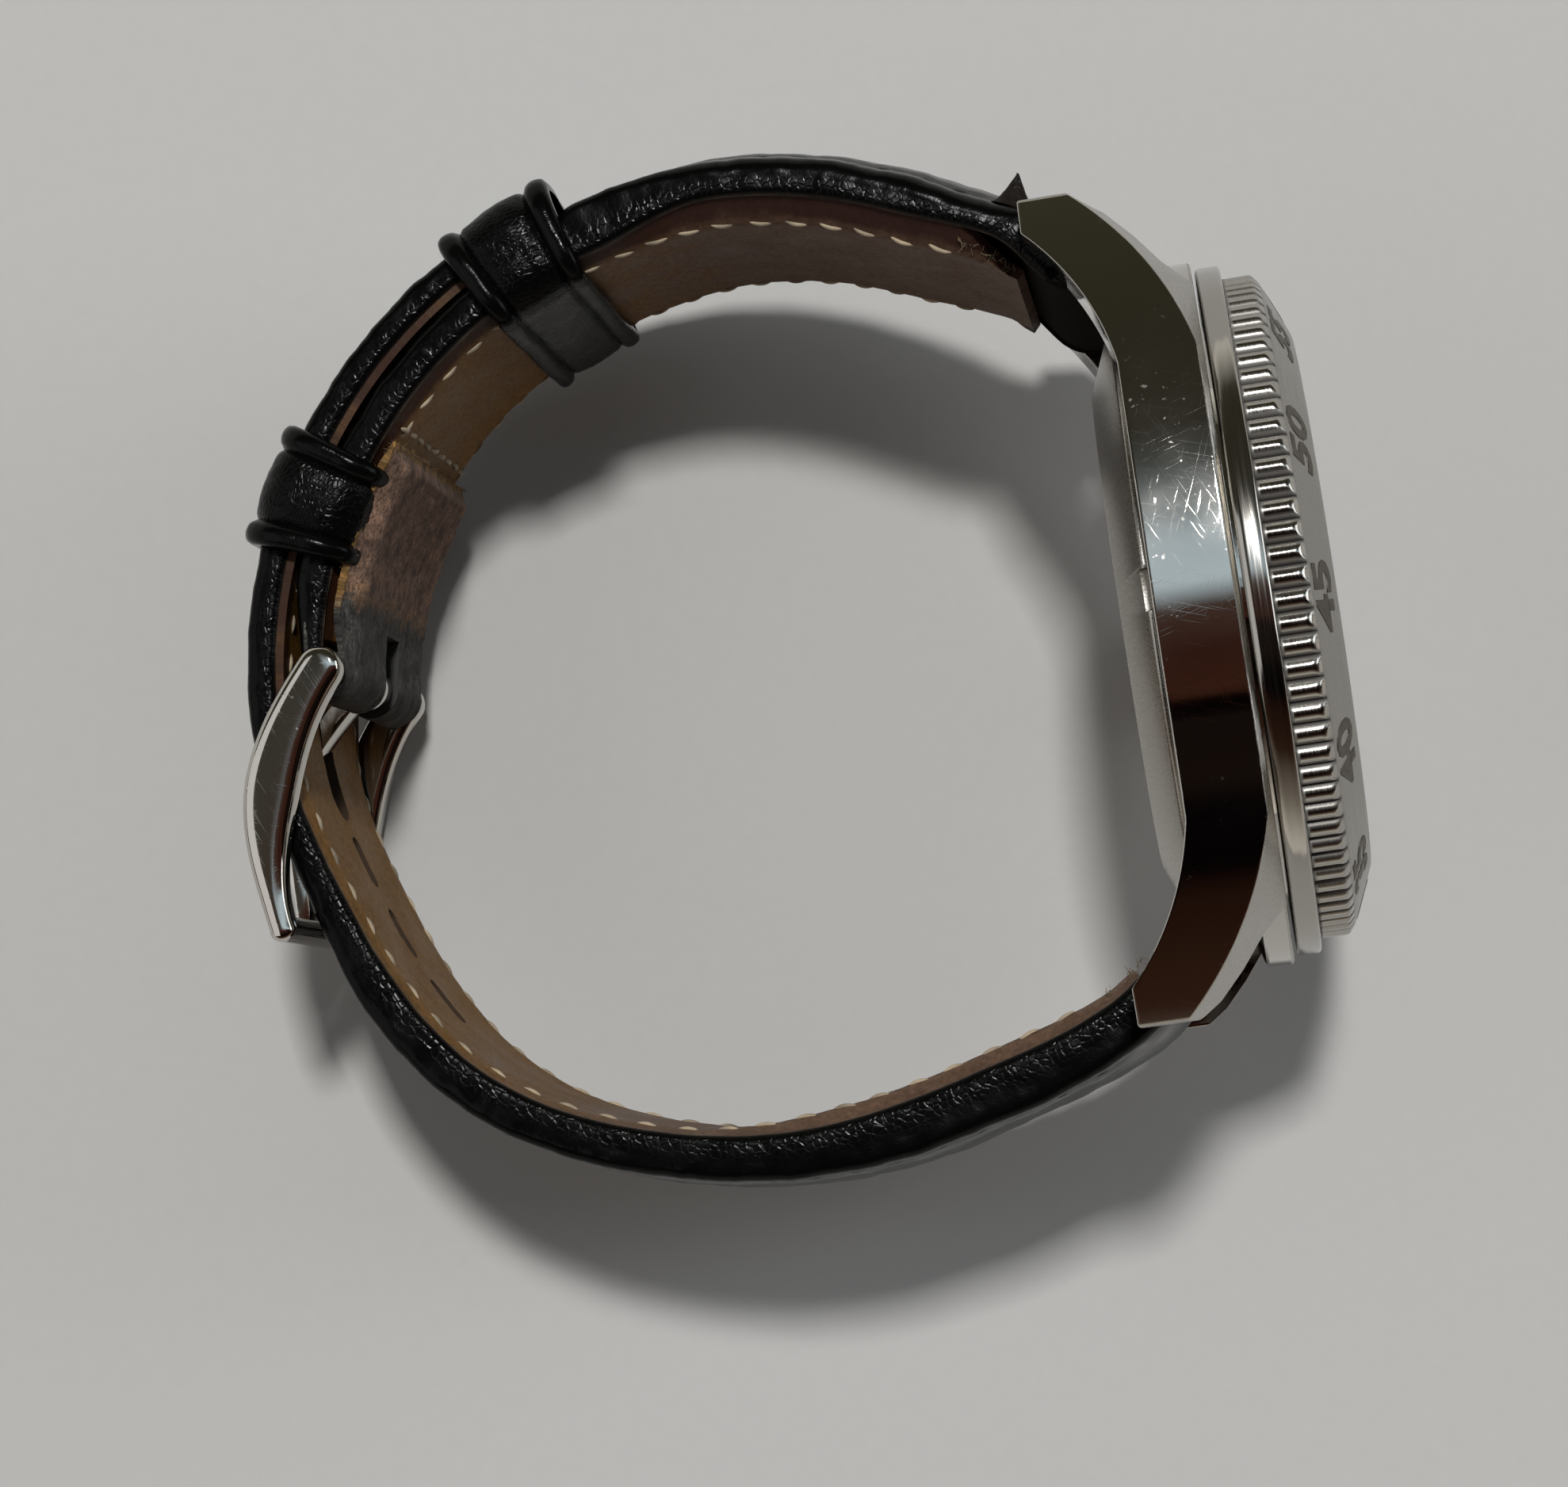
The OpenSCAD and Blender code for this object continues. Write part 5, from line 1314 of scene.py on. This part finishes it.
def arm_section(d, run):
    """The outline across a buckle arm of length run, d along it from the heel bar."""
    if d < 0:
        way = (arm_middle(0.01) - arm_middle(0)).normalized()
        end = min(-d / HEEL_EYE, 1.0)
        centre, half = HEEL_AT + way * d, HEEL_EYE * math.sqrt(1 - end**2)
    elif d > run:
        way = (arm_middle(1) - arm_middle(0.99)).normalized()
        end = min((d - run) / FRONT_R, 1.0)
        centre, half = FRONT_AT + way * (d - run), FRONT_R * math.sqrt(1 - end**2)
    else:
        s = d / run
        way = (arm_middle(s + 0.01) - arm_middle(s - 0.01)).normalized()
        centre, half, end = arm_middle(s), arm_half(s), 0.0
    thick = 0.9 - 0.45 * (1 - math.sqrt(max(0.0, 1 - end**4)))
    half = max(half, 0.02)
    out = Vector((-way.y, way.x))
    ring = softened([Vector(p) for p in ((-thick, -half), (thick, -half), (thick, half),
                                         (-thick, half))], (0.5, 0.5, 0.5, 0.5))
    return [Vector((p.x * (1 + 0.14 * (1 - (p.y / half) ** 2)), *(centre + out * p.y)))
            for p in ring]


class WATCH_OT_buckle(bpy.types.Operator):
    """Models the buckle's frame and tongue"""

    bl_idname = "watch.buckle"
    bl_label = "Buckle"

    def execute(self, context):
        steel = polished_steel()
        line = [arm_middle(i / 60) for i in range(61)]
        run = sum((q - p).length for p, q in zip(line, line[1:]))
        stops = [-HEEL_EYE * math.cos(math.pi / 2 * i / 10) for i in range(10)]
        stops += [run * i / 50 for i in range(51)]
        stops += [run + FRONT_R * math.sin(math.pi / 2 * i / 8) for i in range(1, 9)]
        rings = [arm_section(d, run) for d in stops]
        along, around = len(rings) - 1, len(rings[0])
        buckle = rod("buckle_frame_dressed", FRONT_R, -11.4, 11.4, FRONT_AT, sides=40)
        for side in (-1, 1):
            def place(u, v):
                spot = rings[round(u * along)][round(v * around) % around]
                shift = Vector((side * 11.2, 0, 0))
                return (spot + shift) * MM, (u * 20 * MM, v * 6 * MM), 0.0

            combined(buckle, sewn(drawn("arm", along, around, place), 40), "UNION")
        combined(buckle, rod("bore", BORE_R, -11.85, 11.85, HEEL_AT, sides=40), "DIFFERENCE")
        smoothed(buckle, 40)
        dressed(buckle, "buckle", "polished_steel", [steel], "buckle_frame")
        shape = ribbon(tongue_middle, lambda s: 0.62 * mix(1, 0.7, s), 0.06, 1, 40)
        tongue = plate("tongue_dressed", shape, -1.2, 1.2)
        combined(tongue, rod("loop", 1.5, -1.2, 1.2, HEEL_AT), "UNION")
        broken_edges(tongue, 0.34 * MM, 32, 4)
        combined(tongue, rod("bore", BORE_R, -4, 4, HEEL_AT, sides=40), "DIFFERENCE")
        smoothed(tongue, 32)
        dressed(tongue, "tongue", "polished_steel", [steel], "buckle_tongue")
        return {"FINISHED"}


# Wear


def strand(name, spots, radius):
    """A thread or fibre along a line of points, thinner to its end."""
    rows = len(spots) - 1

    def place(u, v):
        i = round(u * rows)
        way = (spots[min(i + 1, rows)] - spots[max(i - 1, 0)]).normalized()
        side = way.cross(Vector((0.3, 0.5, 0.8))).normalized()
        turn = 2 * math.pi * v
        out = side * math.cos(turn) + way.cross(side) * math.sin(turn)
        return spots[i] + out * radius * (1 - 0.6 * u) * MM, (u * MM, v * MM), 0.0

    return sewn(drawn(name, rows, 5, place), 70)


def tuft(name, roots, reach, radius, seed):
    """Loose fibres from roots (spot, way): six are modelled, then copied and turned at random."""
    chance = random.Random(seed)
    models = []
    for _ in range(6):
        x, y = chance.uniform(-0.9, 0.9), chance.uniform(-0.9, 0.9)
        spots = [Vector((x * t * t, y * t * (1 - t), t)) * MM for t in (0, 0.2, 0.4, 0.6, 0.8, 1)]
        models.append(strand("fibre", spots, radius))
    places = []
    for spot, way in roots:
        model = chance.choice(models)
        way = way + Vector([chance.uniform(-0.8, 0.8) for _ in range(3)])
        turn = Vector((0, 0, 1)).rotation_difference(way).to_matrix().to_4x4()
        spin = Matrix.Rotation(chance.uniform(0, 6.28), 4, "Z")
        size = Matrix.Scale(reach * chance.uniform(0.35, 1), 4)
        places.append((model, Matrix.Translation(spot) @ turn @ spin @ size))
    return copied(name, models, places)


class WATCH_OT_wear(bpy.types.Operator):
    """Models the torn spike by the upper lug, the frayed edges and the loose threads"""

    bl_idname = "watch.wear"
    bl_label = "Wear"

    def execute(self, context):
        reach = context.scene.watch_sizes.fuzz_l / MM
        chance = random.Random(5)

        def spike(u, v):
            turn = 2 * math.pi * v
            wide = mix(1.3, 0.06, u**0.7)
            thick = mix(0.5, 0.06, u)
            along = wide * math.cos(turn) - 0.75 * u
            a = 51.9 - along * DEG + 0.12 * ripple(u * 4, v * 2, 3)
            r = mix(30.6, 32.6, u) + 0.25 * math.cos(turn) * (1 - u)
            x = -9.4 + thick * math.sin(turn) + 0.3 * math.sin(2 * u)
            return on_wrist(x, r, a), (u * 2 * MM, v * 3 * MM), 0.35

        torn = sewn(drawn("torn_leather_spike", 16, 24, spike), 50)
        dressed(torn, "root", "black_leather", [black_leather()])

        straw = plain_solid("frayed leather fibre", "#7d5d38", 0.9, Sheen_Weight=0.2)
        roots = []
        for _ in range(220):
            a = mix(FLAP_A, HEEL_A - 12, chance.random())
            r = UNDER_R - mix(0.05, 0.6, chance.random())
            roots.append((on_wrist(-9.9, r, a), Vector((-0.5, 0, 0))))
        for _ in range(60):
            x = chance.uniform(-9.4, 9.4)
            roots.append((on_wrist(x, UNDER_R - 0.7, FLAP_A + 0.15), Vector((0, 0.6, 0.5))))
        fray = tuft("flap_fray", roots, 0.45 * reach, 0.06, 6)
        dressed(fray, "root", "suede", [straw])

        pale = plain_solid("frayed lining fibre", "#6f6149", 0.9, Sheen_Weight=0.2)
        roots = []
        for _ in range(40):
            a = BAR_6 - mix(0.6, 7.0, chance.random())
            r = long_levels(a)[0] + chance.uniform(-0.1, 0.5)
            roots.append((on_wrist(chance.uniform(-10.2, -8.6), r, a), Vector((-0.5, 0.3, 0.4))))
        for _ in range(60):
            t = chance.random()
            a = mix(56, 48.5, t)
            r = short_levels(a)[0] + mix(0.7, 0.5, t)
            roots.append((on_wrist(mix(-9.8, -6.6, t), r, a), Vector((-0.6, 0.1, 0.1))))
        threads = tuft("loose_threads", roots, 0.8 * reach, 0.05, 7)
        dressed(threads, "root", "lining_leather", [pale])
        return {"FINISHED"}


# The nodes that stay as they are


class WATCH_OT_inner_parts(bpy.types.Operator):
    """Gives the dial, hands, crown and movement their finishes"""

    bl_idname = "watch.inner_parts"
    bl_label = "Dial, crown and movement"

    def execute(self, context):
        finishes = {
            polished_steel(): ["crown", "hour_markers", "hour_hand", "minute_hand"],
            plain_metal("nickel plated steel", "#c9c8c4", 0.25): [
                "spring_bar_12", "spring_bar_6", "heel_bar", "bezel_snap_ring",
                "bezel_click_spring", "crown_tube", "stem", "clutch_wheel", "rotor",
                "bridge_screws", "stator", "quartz_can", "cell", "cell_clamp", "clamp_screw"],
            plain_metal("satin brass", "#bf9a50", 0.32): [
                "main_plate", "train_bridge", "fifth_wheel", "seconds_wheel", "third_wheel",
                "centre_wheel", "minute_wheel", "hour_wheel"],
            plain_solid("nitrile rubber", "#171717", 0.6): ["caseback_gasket", "crown_gasket"],
            plain_solid("satin black enamel", "#14171d", 0.4): ["dial", "chapter_ring"],
            plain_solid("red lacquer", "#a32c1c", 0.3): ["seconds_hand"],
            plain_solid("moulded acetal", "#e2dfd5", 0.5): ["movement_holder", "crystal_gasket"],
            plain_solid("green solder resist", "#1c5534", 0.4): ["circuit_board"],
            plain_metal("enamelled copper wire", "#b5683a", 0.35): ["coil"],
        }
        for material, names in finishes.items():
            for name in names:
                mesh = NODES[name].data
                mesh.materials.clear()
                mesh.materials.append(material)
        return {"FINISHED"}


# Stage

# A dim room: brown to the 6 o'clock side, olive to the 12 o'clock side
ROOM = ((0.0, "#e6e0d6"), (0.1, "#8f877c"), (0.2, "#38241a"), (0.29, "#26150e"), (0.31, "#060404"),
        (0.36, "#080606"), (0.38, "#1c1411"), (0.43, "#191210"), (0.435, "#060303"),
        (0.445, "#060303"), (0.45, "#41261c"), (0.485, "#3a2019"), (0.515, "#4a3730"),
        (0.54, "#45443e"), (0.65, "#34322a"), (0.8, "#38362a"), (0.9, "#403e32"), (1.0, "#e6e4dc"))


class WATCH_OT_stage(bpy.types.Operator):
    """Lays out the paper, the lights and the camera"""

    bl_idname = "watch.stage"
    bl_label = "Stage"

    def execute(self, context):
        scene = context.scene
        drop_selection()
        bpy.ops.mesh.primitive_plane_add(size=1.6)
        paper = context.object
        paper.name = "paper"
        shade = scene.watch_colours.paper
        material, tree, shader, spot = finish_of("matt white paper", shade, 0, 0.9)
        grain = add(tree, "TexNoise", {"Vector": spot, "Scale": 0.9, "Detail": 4})
        tint = add(tree, "ValToRGB", {"Fac": grain},
                   stops=[(0.2, [0.97 * c for c in shade]), (0.8, shade)])
        wire(tree, shader, {"Base Color": tint})
        paper.data.materials.append(material)

        def lamp(name, spot, size, watts, shade):
            bpy.ops.object.light_add(type="AREA", location=spot)
            light = context.object
            light.name = name
            light.data.size, light.data.energy, light.data.color = size, watts, shade
            light.rotation_euler = (-Vector(spot)).to_track_quat("-Z", "Y").to_euler()

        lamp("key", (-0.16, 0.6, 1.9), 0.2, 27.3, (1.0, 0.99, 0.975))
        lamp("fill", (-1.25, 0.0, 0.8), 1.3, 4.0, (0.98, 0.99, 1.0))
        lamp("side", (0.7, 0.1, 0.35), 0.4, 1.1, (0.92, 0.96, 1.0))

        world = scene.world or bpy.data.worlds.new("room")
        scene.world = world
        world.use_nodes = True
        tree = world.node_tree
        way = add(tree, "SeparateXYZ", {"Vector": add(tree, "TexCoord").outputs["Generated"]})
        lean = add(tree, "Math", (way.outputs["Y"], way.outputs["Z"]), operation="ARCTAN2")
        spread = add(tree, "MapRange", (lean, -math.pi / 2, math.pi / 2))
        room = add(tree, "ValToRGB", {"Fac": spread},
                   stops=[(place, hex_linear(code)) for place, code in ROOM])
        # A soft panel of light just past overhead, to the dial's side
        band = add(tree, "ValToRGB", {"Fac": spread}, stops=[
            (0.52, (0,)), (0.67, (0,)), (0.54, (1,)), (0.575, (0.85,)), (0.6, (0.35,)),
            (0.64, (0.06,))])
        side = add(tree, "MapRange", (way.outputs["X"], -0.4, -0.3))
        panel = add(tree, "Math", (band, side), operation="MULTIPLY")
        glow = add(tree, "Mix", {"Factor": panel, "A": room, "B": hex_linear("#cfe2ee")},
                   data_type="RGBA")
        wire(tree, tree.nodes["Background"], {"Color": glow, "Strength": 1.0})

        bpy.ops.object.camera_add(location=(-0.030541, -0.029202, 0.259496))
        camera = context.object
        camera.rotation_euler = [math.radians(a) for a in (6.7128, -5.9325, -7.9276)]
        camera.data.lens, camera.data.sensor_width = 91.0, 36.0
        camera.data.sensor_fit = "HORIZONTAL"
        camera.data.clip_start = 0.01
        scene.camera = camera
        scene.view_settings.view_transform = "Standard"
        return {"FINISHED"}


STEPS = (WATCH_OT_stage, WATCH_OT_case, WATCH_OT_caseback, WATCH_OT_bezel, WATCH_OT_crystal,
         WATCH_OT_straps, WATCH_OT_linings, WATCH_OT_stitches, WATCH_OT_keepers, WATCH_OT_flap,
         WATCH_OT_buckle, WATCH_OT_wear, WATCH_OT_inner_parts)


class WATCH_PT_panel(bpy.types.Panel):
    """Lists the watch's pieces"""

    bl_label = "Watch"
    bl_idname = "WATCH_PT_panel"
    bl_space_type = "VIEW_3D"
    bl_region_type = "UI"
    bl_category = "Watch"

    def draw(self, context):
        for group in (context.scene.watch_sizes, context.scene.watch_colours):
            for name in group.__annotations__:
                self.layout.prop(group, name)
        for step in STEPS:
            self.layout.operator(step.bl_idname)


CLASSES = (WatchSizes, WatchColours, *STEPS, WATCH_PT_panel)


def register():
    for cls in CLASSES:
        bpy.utils.register_class(cls)
    bpy.types.Scene.watch_sizes = bpy.props.PointerProperty(type=WatchSizes)
    bpy.types.Scene.watch_colours = bpy.props.PointerProperty(type=WatchColours)


def unregister():
    del bpy.types.Scene.watch_sizes
    del bpy.types.Scene.watch_colours
    for cls in reversed(CLASSES):
        bpy.utils.unregister_class(cls)


def main():
    register()
    for step in STEPS:
        group, name = step.bl_idname.split(".")
        getattr(getattr(bpy.ops, group), name)()


if __name__ == "__main__":
    main()
